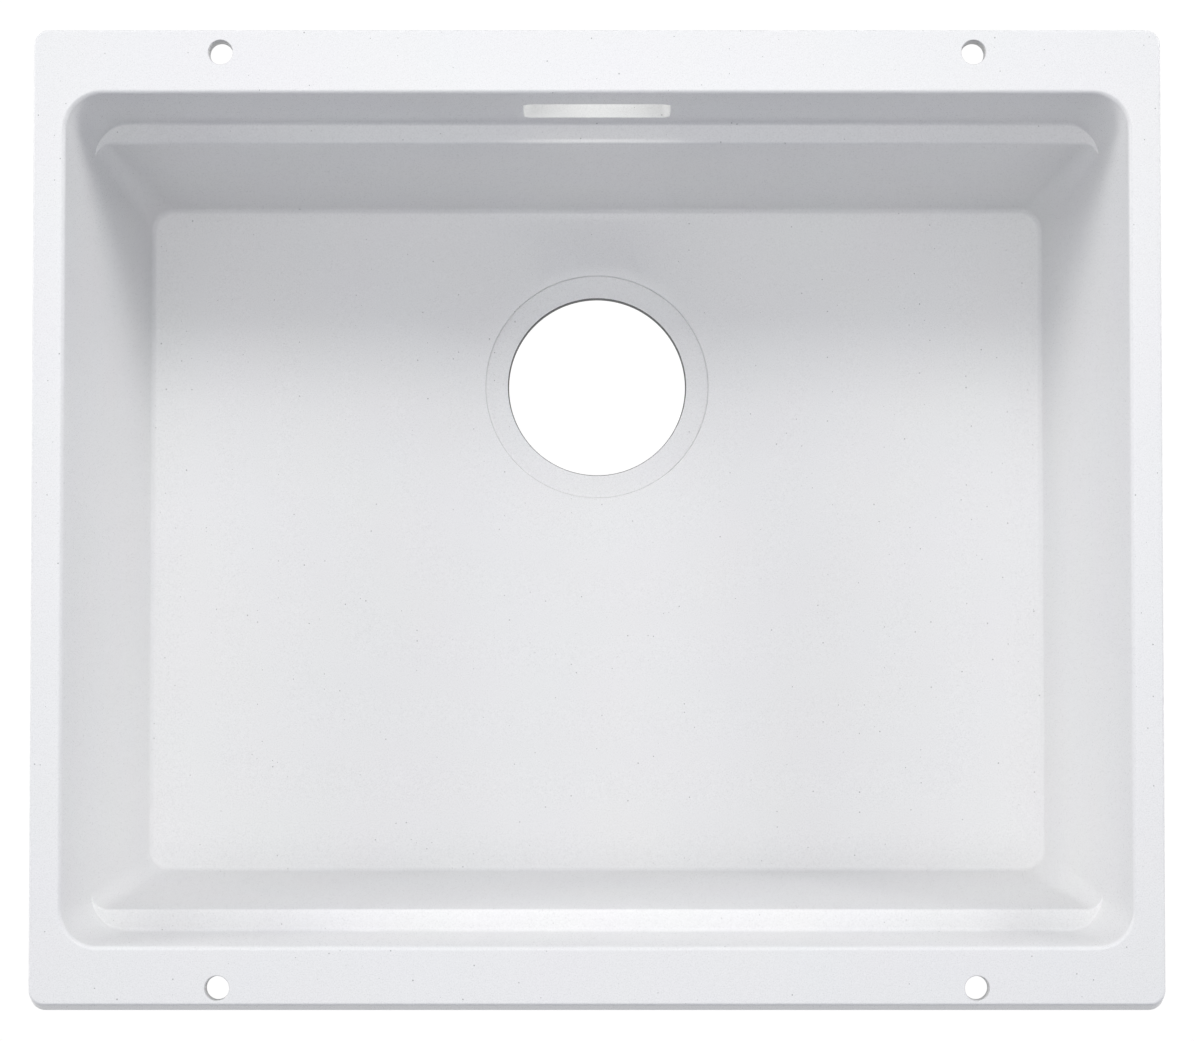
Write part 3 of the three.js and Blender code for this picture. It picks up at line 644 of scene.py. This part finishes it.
def composite_back(tree):
    """The same composite on the side that the mould's rough counterpart left.

    It looks chalky and uneven, with flow marks, pores and more grain than the face.
    """
    where = add(tree, "ShaderNodeTexCoord").outputs["Object"]
    grain = add(tree, "ShaderNodeTexNoise", pattern(where, 1.4, Detail=5.0, Roughness=0.65))
    base = mottled(tree, "#cfcfce", "#e6e6e6", pattern(where, 55.0, Detail=3.0, Distortion=1.2))[1]
    pores = add(tree, "ShaderNodeTexVoronoi", pattern(where, 5.5)).outputs["Distance"]
    edge = {"Value": pores, "From Min": 0.05, "From Max": 0.13, "To Min": 0.0, "To Max": 1.0}
    solid = add(tree, "ShaderNodeMapRange", edge)
    tint = {"Factor": 0.35, "A": base, "B": grain.outputs["Color"]}
    grained = add(tree, "ShaderNodeMix", tint, data_type="RGBA", blend_type="SOFT_LIGHT")
    pits = {"Factor": solid, "A": colour("#a9a8a6"), "B": grained}
    pitted = add(tree, "ShaderNodeMix", pits, data_type="RGBA")
    relief = add(tree, "ShaderNodeMath", {0: grain, 1: 0.5, 2: solid}, operation="MULTIPLY_ADD")
    bump = add(tree, "ShaderNodeBump", {"Height": relief, "Strength": 0.6, "Distance": 0.0002})
    chalky = {"Base Color": pitted, "Roughness": 0.78, "IOR": 1.5, "Normal": bump}
    return add(tree, "ShaderNodeBsdfPrincipled", chalky)


def composite_bore_painted_shade(tree):
    """Painted shade: the composite made a matt dark grey on the walls of the drain's bore, where shade falls
    inside the hole.
    """
    where = add(tree, "ShaderNodeTexCoord").outputs["Object"]
    # Dark grey shades: painted shade for the inside of the bore.
    grain, base = mottled(tree, "#565656", "#7d7d7d", pattern(where, 0.9, Detail=4.0, Roughness=0.7))
    bump = add(tree, "ShaderNodeBump", {"Height": grain, "Strength": 0.5, "Distance": 0.0001})
    matt = {"Base Color": base, "Roughness": 0.85, "IOR": 1.5, "Normal": bump}
    return add(tree, "ShaderNodeBsdfPrincipled", matt)


def polypropylene(tree):
    """Natural polypropylene, injection moulded: milky and waxy, and light passes through it."""
    where = add(tree, "ShaderNodeTexCoord").outputs["Object"]
    grain = add(tree, "ShaderNodeTexNoise", pattern(where, 0.5, Detail=2.0))
    milky = mottled(tree, "#eceee9", "#f8f9f6", pattern(where, 18.0, Detail=2.0, Distortion=0.8))[1]
    bump = add(tree, "ShaderNodeBump", {"Height": grain, "Strength": 0.25, "Distance": 0.00005})
    waxy = {"Base Color": milky, "Roughness": 0.38, "IOR": 1.49, "Normal": bump}
    body = add(tree, "ShaderNodeBsdfPrincipled", waxy)
    through = add(tree, "ShaderNodeBsdfTranslucent", {"Color": milky})
    return add(tree, "ShaderNodeMixShader", {0: 0.85, 1: body, 2: through})


def rubber(tree):
    """EPDM rubber, moulded: deep grey, with a bloom that dulls it in patches."""
    where = add(tree, "ShaderNodeTexCoord").outputs["Object"]
    bloom, base = mottled(tree, "#191a1c", "#2e2f31", pattern(where, 6.0, Detail=3.0))
    grain = add(tree, "ShaderNodeTexNoise", pattern(where, 0.4, Detail=2.0))
    dull = add(tree, "ShaderNodeMapRange", {**NOISE_SPREAD, "Value": bloom, "To Min": 0.68, "To Max": 0.85})
    bump = add(tree, "ShaderNodeBump", {"Height": grain, "Strength": 0.3, "Distance": 0.00005})
    return add(tree, "ShaderNodeBsdfPrincipled", {"Base Color": base, "Roughness": dull, "Normal": bump})


def stainless_steel(tree):
    """Stainless steel, cold headed and tumbled: bright, with a faint orange peel."""
    where = add(tree, "ShaderNodeTexCoord").outputs["Object"]
    peel, base = mottled(tree, "#b9babb", "#d3d3d2", pattern(where, 0.8, Detail=3.0))
    gloss = add(tree, "ShaderNodeMapRange", {**NOISE_SPREAD, "Value": peel, "To Min": 0.2, "To Max": 0.38})
    bump = add(tree, "ShaderNodeBump", {"Height": peel, "Strength": 0.2, "Distance": 0.00003})
    bright = {"Base Color": base, "Metallic": 1.0, "Roughness": gloss, "Normal": bump}
    return add(tree, "ShaderNodeBsdfPrincipled", bright)


def brass(tree):
    """Brass, turned and knurled: warm yellow, darker and duller where it has begun to tarnish."""
    where = add(tree, "ShaderNodeTexCoord").outputs["Object"]
    stain, base = mottled(tree, "#b8954c", "#d8bb74", pattern(where, 2.5, Detail=3.0))
    gloss = add(tree, "ShaderNodeMapRange", {**NOISE_SPREAD, "Value": stain, "To Min": 0.25, "To Max": 0.42})
    return add(tree, "ShaderNodeBsdfPrincipled", {"Base Color": base, "Metallic": 1.0, "Roughness": gloss})


FACE = new_material("composite_cast_face", "#eaebed", composite_face)
BACK = new_material("composite_cast_back", "#d9d9d8", composite_back)
# Dark grey for the drain's bore walls: painted shade.
BORE_PAINTED_SHADE = new_material("composite_bore_painted_shade", "#6a6a6a", composite_bore_painted_shade)
PLASTIC = new_material("natural_polypropylene_moulded", "#eef0ec", polypropylene)
RUBBER = new_material("epdm_rubber_moulded", "#232426", rubber)
STEEL = new_material("stainless_steel_cold_headed", "#c6c7c8", stainless_steel)
BRASS = new_material("brass_turned", "#c9a960", brass)


# ---- Casting ----


def upper_wall(z, offset=0.0, round_off=0.0, **more):
    """Ring of the wall above the ledges."""
    depth = RIM_Z - z
    half_length = OPENING_HALF_LENGTH - depth * SIDE_SLOPE + offset
    half_width = OPENING_HALF_WIDTH - depth * UPPER_SLOPE + offset
    return ring(half_length, half_width, z, OPENING_CORNER + offset, round_off, **more)


def lower_wall(z, offset=0.0, round_off=0.0, **more):
    """Ring of the wall below the ledges."""
    below = LEDGE_Z - z
    half_length = OPENING_HALF_LENGTH - (RIM_Z - z) * SIDE_SLOPE + offset
    at_ledge = OPENING_HALF_WIDTH - (RIM_Z - LEDGE_Z) * UPPER_SLOPE - LEDGE_WIDTH
    corner = LOWER_CORNER + below * LOWER_CORNER_GROWTH + offset
    return ring(half_length, at_ledge - below * LOWER_SLOPE + offset, z, corner, round_off, **more)


def drawn_in(at, z):
    """A ring drawn in to the circle of the sump round the drain."""
    return dict(stepped(at, -SUMP_INSET, 0), z=z, drawn=1.0, circle=SUMP_RADIUS)


def casting_rings():
    """Rings of the casting's skin, from inside the drain up, over the flange and down to the base."""
    foot = lower_wall(FLOOR_EDGE_Z, 0, FLOOR_FILLET)
    floor_edge = stepped(foot, -FLOOR_EDGE_INSET)
    rim = upper_wall(RIM_Z, 0, RIM_ROUND)
    edge = ring(FLANGE_HALF_LENGTH, FLANGE_HALF_WIDTH, RIM_Z, FLANGE_CORNER, FLANGE_EDGE_ROUND)
    crease_z = RIM_Z - FRONT_LEAN_HEIGHT
    under_z = RIM_Z - FLANGE_THICKNESS
    under_edge = dict(edge, z=under_z, round_off=FLANGE_UNDER_ROUND, back=1.0)
    neck = upper_wall(under_z, WALL, FLANGE_FILLET, back=1.0)
    outer_ledge_z = LEDGE_Z - WALL
    base = lower_wall(0, WALL, BASE_ROUND, back=1.0)
    base_edge = stepped(base, -BASE_EDGE_INSET)
    return [
        drawn_in(floor_edge, FLOOR_THICKNESS),
        floor_edge,
        foot,
        lower_wall(LEDGE_Z, 0, LEDGE_NOSE),
        upper_wall(LEDGE_Z, 0, LEDGE_FILLET),
        rim,
        stepped(rim, RIM_BAND),
        stepped(edge, -EDGE_BAND),
        edge,
        dict(edge, z=crease_z + LEAN_CREASE, round_off=0.0),
        dict(edge, z=crease_z - LEAN_CREASE, round_off=0.0),
        under_edge,
        stepped(under_edge, -UNDER_BAND),
        stepped(neck, NECK_BAND),
        neck,
        upper_wall(outer_ledge_z, WALL, OUTER_LEDGE_NOSE, back=1.0),
        lower_wall(outer_ledge_z, WALL, OUTER_LEDGE_FILLET, back=1.0),
        base,
        base_edge,
        drawn_in(base_edge, 0),
    ]


def front_drawn_back(mesh):
    """Leans the front of the flange's edge back; the strip that this leaves runs out round both corners."""
    crease = (RIM_Z - FRONT_LEAN_HEIGHT) * MM
    for vertex in mesh.vertices:
        if vertex.co.y < -FRONT_LEAN_START * MM and vertex.co.z > crease:
            vertex.co.y += (vertex.co.z - crease) * FRONT_LEAN / FRONT_LEAN_HEIGHT
    return mesh


def drain_cutter():
    """Hole for the waste, the seat for its flange and the ground face under the base."""
    seat = FLOOR_THICKNESS - SEAT_DEPTH
    rings = [
        turned_ring(SEAT_RADIUS, -LIP_CLEARANCE, SOFTENED),
        turned_ring(SEAT_RADIUS, SPOT_FACE, BROKEN),
        # The bore's walls take the dark grey material, which paints the shade inside the hole.
        turned_ring(DRAIN_FOOT_RADIUS, SPOT_FACE, BROKEN, back=1.0),
        turned_ring(DRAIN_RADIUS, seat, DRAIN_EDGE_ROUND, back=1.0),
        turned_ring(SEAT_RADIUS - SEAT_FLARE, seat, SOFTENED),
        turned_ring(SEAT_RADIUS + SEAT_FLARE, FLOOR_THICKNESS + LIP_CLEARANCE, BROKEN),
    ]
    place = Matrix.Translation((0, DRAIN_Y, 0))
    return lofted("drain_cutter", opened(rings, DRAIN_LIP, DRAIN_LIP), FACE, (6, 40, 0), BORE_PAINTED_SHADE, place)


def fixing_cutter(x, y):
    """Hole for a bolt, with lightly rounded edges and a moulded hole's taper."""
    rings = turned(
        (FIXING_FOOT_RADIUS, RIM_Z - FLANGE_THICKNESS - LIP_CLEARANCE, HOLE_EDGE_ROUND),
        (FIXING_RADIUS, RIM_Z + LIP_CLEARANCE, HOLE_EDGE_ROUND),
    )
    rings = opened(rings, FIXING_RADIUS - FIXING_FOOT_RADIUS + FIXING_LIP, FIXING_LIP)
    return lofted("fixing_cutter", rings, BACK, (5, 16, 0), place=Matrix.Translation((x, y, 0)))


def slot_cutter():
    """Overflow slot through the back wall, with rounded lips at both ends."""
    inside_z = -WALL * math.cos(UPPER_DRAFT) - LIP_CLEARANCE
    inside = ring(SLOT_HALF_LENGTH, SLOT_HALF_HEIGHT, inside_z, SLOT_CORNER, SLOT_EDGE_ROUND)
    outside = dict(inside, z=PAD_HEIGHT + LIP_CLEARANCE)
    rings = opened([inside, outside], SLOT_LIP, SLOT_LIP)
    return lofted("slot_cutter", rings, FACE, (6, 10, 2), place=OVERFLOW)


def overflow_pad():
    """Raised flat round the slot, rooted in the wall, for the gasket and the housing's ears."""
    half_length = SCREW_X + EAR_RADIUS + PAD_MARGIN
    top = ring(half_length, PLATE_HALF_HEIGHT + PAD_MARGIN, PAD_HEIGHT, PAD_CORNER, SOFTENED)
    rings = [dict(top, z=-PAD_ROOT, round_off=0.0), top, stepped(top, -CAP_INSET)]
    return lofted("overflow_pad", rings, BACK, (5, 12, 2), place=OVERFLOW)


def on_screw_axis(x):
    """Place of a screw, with its own z straight out of the wall."""
    return OVERFLOW @ Matrix.Translation((x, 0, 0))


def insert_pocket(x):
    """Pocket that the threaded insert is pressed into."""
    radius = INSERT_RADIUS + SEAT_GAP
    rings = turned((radius, INSERT_BOTTOM - SEAT_GAP), (radius, PAD_HEIGHT + LIP_CLEARANCE, BROKEN))
    return lofted("insert_pocket", opened(rings, head=INSERT_LIP), BACK, (4, 10, 0), place=on_screw_axis(x))


def make_casting():
    """The bowl and its flange in one, with every hole cut."""
    skin = lofted("casting", casting_rings(), FACE, (8, 16, 16), BACK, centre=(0, DRAIN_Y, 0))
    whole = combined(front_drawn_back(skin), [overflow_pad()], "UNION")
    cutters = [drain_cutter(), slot_cutter()]
    cutters += [fixing_cutter(x, y) for x in (-FIXING_X, FIXING_X) for y in (-FIXING_Y, FIXING_Y)]
    cutters += [insert_pocket(x) for x in (-SCREW_X, SCREW_X)]
    kept("cast_bowl", combined(whole, cutters, "DIFFERENCE"), "sink_bowl")


# ---- Overflow housing and what holds it ----


def housing_block():
    """Plate and chamber in one skin, from the wall's side out over the top of the chamber."""
    plate = ring(PLATE_HALF_LENGTH, PLATE_HALF_HEIGHT, PLATE_BOTTOM, PLATE_CORNER, BROKEN)
    outer = ring(CHAMBER_HALF_LENGTH, CHAMBER_HALF_HEIGHT, CHAMBER_TOP, CHAMBER_CORNER, CHAMBER_ROUND)
    rings = [
        stepped(plate, -CAP_INSET),
        plate,
        dict(plate, z=PLATE_TOP, round_off=PLATE_EDGE_ROUND),
        dict(outer, z=PLATE_TOP, round_off=CHAMBER_FILLET),
        outer,
        stepped(outer, -1.5 * CHAMBER_ROUND),
    ]
    return lofted("housing_block", rings, PLASTIC, (6, 10, 2))


def chamber_hollow():
    """Inside of the chamber, with a lightly rounded lip where it opens through the plate."""
    inner = ring(
        CHAMBER_HALF_LENGTH - HOUSING_WALL,
        CHAMBER_HALF_HEIGHT - HOUSING_WALL,
        CHAMBER_TOP - HOUSING_WALL,
        CHAMBER_CORNER - HOUSING_WALL,
        CHAMBER_ROUND - HOUSING_WALL,
    )
    mouth = dict(inner, z=PLATE_BOTTOM - LIP_CLEARANCE, round_off=BROKEN)
    rings = opened([mouth, inner, stepped(inner, -CAP_INSET)], foot=CHAMBER_LIP)
    return lofted("chamber_hollow", rings, PLASTIC, (5, 10, 2))


def ears():
    """Bar across the plate with a round ear at each end, a little thinner than the plate."""
    low = ring(SCREW_X + EAR_RADIUS, EAR_RADIUS, PLATE_BOTTOM + EAR_SUNK, EAR_RADIUS, BROKEN)
    high = dict(low, z=PLATE_TOP - EAR_SUNK, round_off=PLATE_EDGE_ROUND)
    rings = [stepped(low, -CAP_INSET), low, high, stepped(high, -CAP_INSET)]
    return lofted("ears", rings, PLASTIC, (5, 14, 2))


def collar(x):
    """Spacer under an ear, which takes the screw's pull."""
    rings = turned((COLLAR_RADIUS, GASKET_BOTTOM, BROKEN), (COLLAR_RADIUS, (PLATE_BOTTOM + PLATE_TOP) / 2))
    return lofted("collar", rings, PLASTIC, (4, 12, 0), place=Matrix.Translation((x, 0, 0)))


def hose_tail():
    """Barbed tail below the chamber; a hose slides on over the tapers and can't slide off."""
    rings = turned((TAIL_RADIUS, CHAMBER_HALF_HEIGHT - HOUSING_WALL))
    for barb in range(BARBS, 0, -1):
        catch = TAIL_END - barb * BARB_LENGTH
        rings += turned(
            (TAIL_RADIUS, catch, BROKEN),
            (TAIL_RADIUS + BARB_HEIGHT, catch, BARB_EDGE_ROUND),
            (TAIL_RADIUS, catch + BARB_LENGTH - BARB_LAND),
        )
    rings += turned((TAIL_RADIUS, TAIL_END, SOFTENED))
    return lofted("hose_tail", rings, PLASTIC, (4, 12, 0), place=TAIL_PLACE)


def tail_bore():
    """Bore of the tail, from inside the chamber out through the tail's end."""
    start = CHAMBER_HALF_HEIGHT - HOUSING_WALL - OVERCUT
    rings = turned((TAIL_BORE, start), (TAIL_BORE, TAIL_END + LIP_CLEARANCE, BROKEN))
    return lofted("tail_bore", opened(rings, head=TAIL_LIP), PLASTIC, (4, 12, 0), place=TAIL_PLACE)


def screw_hole(x):
    """Clearance hole through a collar and its ear."""
    rings = turned((SCREW_CLEAR_RADIUS, 0), (SCREW_CLEAR_RADIUS, PLATE_TOP + OVERCUT))
    return lofted("screw_hole", rings, PLASTIC, (4, 8, 0), place=Matrix.Translation((x, 0, 0)))


def rib_row():
    """Webs that stiffen the plate against the chamber's long walls."""
    foot = PLATE_HALF_HEIGHT - RIB_INSET
    head = CHAMBER_HALF_HEIGHT - RIB_INSET / 2
    top = CHAMBER_TOP - CHAMBER_ROUND
    low = PLATE_BOTTOM + HOUSING_WALL / 2
    corners = [(-foot, low), (foot, low), (foot, PLATE_TOP), (head, top), (-head, top), (-foot, PLATE_TOP)]
    web = prism("web", corners, RIB_THICKNESS / 2, PLASTIC)
    row = formed("rib_row", web, RIB_ROW, {"Count": 2, "Spacing": RIB_SPACING * MM, "Plastic": PLASTIC})
    return facing_out(row)


def make_housing():
    """The hollow moulding that catches the overflow, made in the overflow's own frame."""
    parts = [ears(), hose_tail(), *[collar(x) for x in (-SCREW_X, SCREW_X)], rib_row()]
    cutters = [chamber_hollow(), tail_bore(), *[screw_hole(x) for x in (-SCREW_X, SCREW_X)]]
    whole = combined(combined(housing_block(), parts, "UNION"), cutters, "DIFFERENCE")
    whole.transform(in_metres(OVERFLOW))
    kept("moulded_housing", whole, "overflow_housing")


def make_gasket():
    """Rubber frame with a moulded bead along the middle of each face."""
    low, high = GASKET_BOTTOM + BEAD_HEIGHT, GASKET_TOP - BEAD_HEIGHT
    outer = ring(PLATE_HALF_LENGTH, PLATE_HALF_HEIGHT, low, PLATE_CORNER)
    width = PLATE_HALF_HEIGHT - SLOT_HALF_HEIGHT - GASKET_SETBACK
    shrink = PLATE_CORNER - SLOT_CORNER - GASKET_SETBACK

    def at(share, z, round_off):
        """The ring at this share of the frame's width, from its outside inwards."""
        return dict(stepped(outer, -width * share, -shrink * share), z=z, round_off=round_off)

    rings = [at(0, low, GASKET_EDGE_ROUND), at(0, high, GASKET_EDGE_ROUND)]
    rings += [at(share, high + rise, BEAD_ROUND) for share, rise in BEAD]
    rings += [at(1, high, GASKET_EDGE_ROUND), at(1, low, GASKET_EDGE_ROUND)]
    rings += [at(share, low - rise, BEAD_ROUND) for share, rise in reversed(BEAD)]
    mesh = lofted("gasket", rings, RUBBER, (3, 12, 4), place=OVERFLOW, closed=True)
    kept("rubber_gasket", mesh, "overflow_gasket")


def cross_recess():
    """Two crossed wedges that make the recess for a driver."""
    wedges = []
    for half_sizes in ((RECESS_REACH, RECESS_HALF_WIDTH), (RECESS_HALF_WIDTH, RECESS_REACH)):
        top = ring(*half_sizes, HEAD_TOP + 1.0, 0.15)
        tip = ring(*(size * RECESS_TAPER + 0.1 for size in half_sizes), HEAD_BOTTOM + RECESS_FLOOR, 0.08)
        wedges.append(lofted("wedge", [tip, top], STEEL, (3, 4, 1)))
    return combined(wedges[0], [wedges[1]], "UNION")


def make_screw(side, x):
    """Pan-head screw, with a rolled thread that fades out at both ends and a cross recess."""
    core = SCREW_RADIUS - THREAD_DEPTH
    foot = SCREW_TIP + THREAD_RUNOUT
    top = HEAD_BOTTOM - THREAD_RUNOUT
    steps = int((top - foot) / THREAD_PITCH * RINGS_A_TURN)
    rings = turned((SCREW_RADIUS - 1.0, SCREW_TIP), (core, foot - 0.1))
    for step in range(steps + 1):
        crest = THREAD_DEPTH * min(1.0, step / RUNOUT_RINGS, (steps - step) / RUNOUT_RINGS)
        z = foot + (top - foot) * step / steps
        rings.append(turned_ring(core, z, crest=crest, crests=1, pitch=-THREAD_PITCH))
    rings += turned((core, HEAD_BOTTOM, BROKEN), (HEAD_RADIUS, HEAD_BOTTOM, 0.2))
    rings += turned((HEAD_RADIUS, HEAD_TOP, HEAD_ROUND), (1.0, HEAD_TOP))
    made = combined(lofted("screw", rings, STEEL, (7, 14, 0)), [cross_recess()], "DIFFERENCE")
    made.transform(in_metres(on_screw_axis(x)))
    kept(f"pan_head_screw_{side}", made, f"housing_screw_{side}", sharp=42.0)


def make_washer(side, x):
    """Stamped washer: rounded on the side that the punch met, sharper on the other."""
    rings = turned(
        (SCREW_CLEAR_RADIUS, WASHER_BOTTOM, 0.08),
        (WASHER_RADIUS, WASHER_BOTTOM, 0.08),
        (WASHER_RADIUS, WASHER_TOP, BROKEN),
        (SCREW_CLEAR_RADIUS, WASHER_TOP, 0.15),
    )
    mesh = lofted("washer", rings, STEEL, (4, 20, 0), place=on_screw_axis(x), closed=True)
    kept(f"stamped_washer_{side}", mesh, f"housing_washer_{side}")


def make_insert(side, x):
    """Brass insert with two bands of diagonal knurling and a groove between them."""
    knurl = dict(crest=KNURL_DEPTH, crests=KNURL_CRESTS, pitch=KNURL_PITCH)
    middle = (INSERT_TOP + INSERT_BOTTOM) / 2
    body = INSERT_RADIUS - KNURL_DEPTH
    groove = body - INSERT_GROOVE
    rings = turned((SCREW_CLEAR_RADIUS, INSERT_BOTTOM, 0.15), (body, INSERT_BOTTOM, 0.1))
    for low, high in ((INSERT_BOTTOM + 0.4, middle - 0.5), (middle + 0.5, INSERT_TOP - 0.4)):
        first, last = low + 0.1, high - 0.1
        rows = [first + (last - first) * row / KNURL_ROWS for row in range(KNURL_ROWS + 1)]
        rings.append(turned_ring(body, low))
        rings += [turned_ring(body, z, **knurl) for z in rows]
        rings.append(turned_ring(body, high))
        if high < middle:
            rings += turned((groove, high + 0.1), (groove, middle + 0.4))
    rings += turned((body, INSERT_TOP, 0.1), (SCREW_CLEAR_RADIUS, INSERT_TOP, 0.25))
    mesh = lofted("insert", rings, BRASS, (3, 40, 0), place=on_screw_axis(x), closed=True)
    kept(f"knurled_insert_{side}", mesh, f"threaded_insert_{side}")


make_casting()
make_housing()
make_gasket()
for side, x in (("left", -SCREW_X), ("right", SCREW_X)):
    make_insert(side, x)
    make_washer(side, x)
    make_screw(side, x)


# ---- Studio ----

FOCAL_PIXELS = 5171.2
FRAME_PIXELS = 1194.0
SENSOR_WIDTH = 36.0
CAMERA_HEIGHT = 2.6277
CAMERA_Y = -0.1318
CAMERA_TILT = math.radians(3.091)

# The floor lies a little under the base. It and the sky look brighter than the light they give.
FLOOR_REACH = 4.0
FLOOR_Z = -0.0004
SEEN_STRENGTH = 1.02
FLOOR_STRENGTH = 0.87
SKY_STRENGTH = 0.285

LIGHT_DISTANCE = 3.0
LIGHT_AIM_Z = 0.1
PANEL_INSET = 1.0
PANEL_WATTS = 0.0016
STRIP_LENGTH = 46.0
STRIP_WIDTH = 1.5
STRIP_DROP = 1.5
STRIP_HEIGHT = 10.9
STRIP_WATTS = 0.0068


def studio_floor(tree):
    """White floor that glows, so that it stays white in every shadow; from below it is clear."""
    seen = add(tree, "ShaderNodeLightPath").outputs["Is Camera Ray"]
    shares = {"Value": seen, "To Min": FLOOR_STRENGTH, "To Max": SEEN_STRENGTH}
    strength = add(tree, "ShaderNodeMapRange", shares)
    glow = add(tree, "ShaderNodeEmission", {"Color": (1, 1, 1, 1), "Strength": strength})
    clear = add(tree, "ShaderNodeBsdfTransparent")
    side = add(tree, "ShaderNodeNewGeometry")
    return add(tree, "ShaderNodeMixShader", {0: side.outputs["Backfacing"], 1: glow, 2: clear})


def make_floor():
    """A wide square under the sink."""
    mesh = bpy.data.meshes.new("studio_floor")
    corners = [(x * FLOOR_REACH, y * FLOOR_REACH, FLOOR_Z) for x, y in ((-1, -1), (1, -1), (1, 1), (-1, 1))]
    mesh.from_pydata(corners, [], [(0, 1, 2, 3)])
    mesh.materials.append(new_material("studio_floor", "#ffffff", studio_floor))
    as_object("studio_floor", mesh)


def area_lamp(name, place, direction, width, depth, watts):
    """A rectangular lamp that lights what lies in the given direction, unseen by the camera."""
    lamp_data = bpy.data.lights.new(name, "AREA")
    lamp_data.shape = "RECTANGLE"
    lamp_data.size = width
    lamp_data.size_y = depth
    lamp_data.energy = watts
    lamp_data.color = colour("#fffefc")[:3]
    lamp = bpy.data.objects.new(name, lamp_data)
    lamp.location = place
    lamp.rotation_mode = "QUATERNION"
    lamp.rotation_quaternion = (-direction).to_track_quat("Z", "Y")
    lamp.visible_camera = False
    bpy.context.scene.collection.objects.link(lamp)


def softbox(name, sideways, backwards, width, depth, watts):
    """A lamp aimed at the bowl; it leans off the vertical by the two given slopes."""
    towards = Vector((sideways, backwards, 1)).normalized()
    place = Vector((0, 0, LIGHT_AIM_Z)) + towards * LIGHT_DISTANCE
    area_lamp(name, place, -towards, width, depth, watts)


def slot_lamps():
    """Two small lamps behind the slot, for the light that the photograph shows coming through it.

    The panel fills the slot. The strip lies high in the housing and shines over the sill, so that
    it draws the bright line along the nose of the ledge.
    """
    place = in_metres(OVERFLOW)
    into_bowl = place.to_3x3() @ Vector((0, 0, -1))
    panel = place @ (Vector((0, 0, PAD_HEIGHT + SEAT_GAP / 2)) * MM)
    width, height = (2 * (size - PANEL_INSET) * MM for size in (SLOT_HALF_LENGTH, SLOT_HALF_HEIGHT))
    area_lamp("slot_panel", panel, into_bowl, width, height, PANEL_WATTS)
    strip = place @ (Vector((0, STRIP_DROP - SLOT_HALF_HEIGHT, PLATE_BOTTOM + STRIP_HEIGHT)) * MM)
    sill = place @ (Vector((0, SLOT_HALF_HEIGHT, -WALL)) * MM)
    area_lamp("slot_strip", strip, sill - strip, STRIP_LENGTH * MM, STRIP_WIDTH * MM, STRIP_WATTS)


def make_lights():
    """Three softboxes behind, three at the sides, two fills in front, two overhead, and the slot's lamps.

    Each softbox has its slopes to the right and to the back, its width and depth, and its watts.
    """
    softbox("softbox_behind", 0.0, 0.61, 1.6, 0.5, 16.2)
    softbox("softbox_behind_left", -1.0, 0.75, 1.0, 0.35, 7.3)
    softbox("softbox_behind_right", 1.0, 0.75, 1.0, 0.35, 15.6)
    softbox("softbox_left", -2.2, 0.88, 0.5, 0.8, 20.2)
    softbox("softbox_left_low", -2.2, 0.45, 0.5, 0.9, 11.2)
    softbox("softbox_right", 2.2, 0.76, 0.5, 1.0, 19.4)
    softbox("softbox_fill_left", -1.3, -0.2, 0.6, 0.8, 6.0)
    softbox("softbox_fill_right", 1.3, -0.2, 0.6, 0.8, 3.6)
    softbox("softbox_overhead", 0.0, -0.25, 0.8, 0.4, 4.8)
    softbox("softbox_overhead_b", 0.0, 0.1, 0.8, 0.4, 12.0)
    slot_lamps()


def make_sky():
    """An even, slightly blue sky, which fills the shadows."""
    world = bpy.data.worlds.new("studio")
    world.use_nodes = True
    tree = world.node_tree
    tree.nodes.clear()
    seen = add(tree, "ShaderNodeLightPath").outputs["Is Camera Ray"]
    shares = {"Value": seen, "To Min": SKY_STRENGTH, "To Max": SEEN_STRENGTH}
    strength = add(tree, "ShaderNodeMapRange", shares)
    sky = add(tree, "ShaderNodeBackground", {"Color": colour("#e6ecff"), "Strength": strength})
    add(tree, "ShaderNodeOutputWorld", {0: sky})
    bpy.context.scene.world = world


def make_camera():
    """Nearly straight down from high above the front half of the bowl, as in the photograph."""
    lens = bpy.data.cameras.new("camera")
    lens.sensor_width = SENSOR_WIDTH
    lens.lens = FOCAL_PIXELS / FRAME_PIXELS * SENSOR_WIDTH
    lens.clip_start, lens.clip_end = 0.05, 20.0
    camera = bpy.data.objects.new("camera", lens)
    camera.location = (0, CAMERA_Y, CAMERA_HEIGHT)
    camera.rotation_euler = (CAMERA_TILT, 0, 0)
    bpy.context.scene.collection.objects.link(camera)
    bpy.context.scene.camera = camera


make_floor()
make_lights()
make_sky()
make_camera()
bpy.context.scene.view_settings.view_transform = "Standard"
bpy.context.scene.view_settings.look = "None"
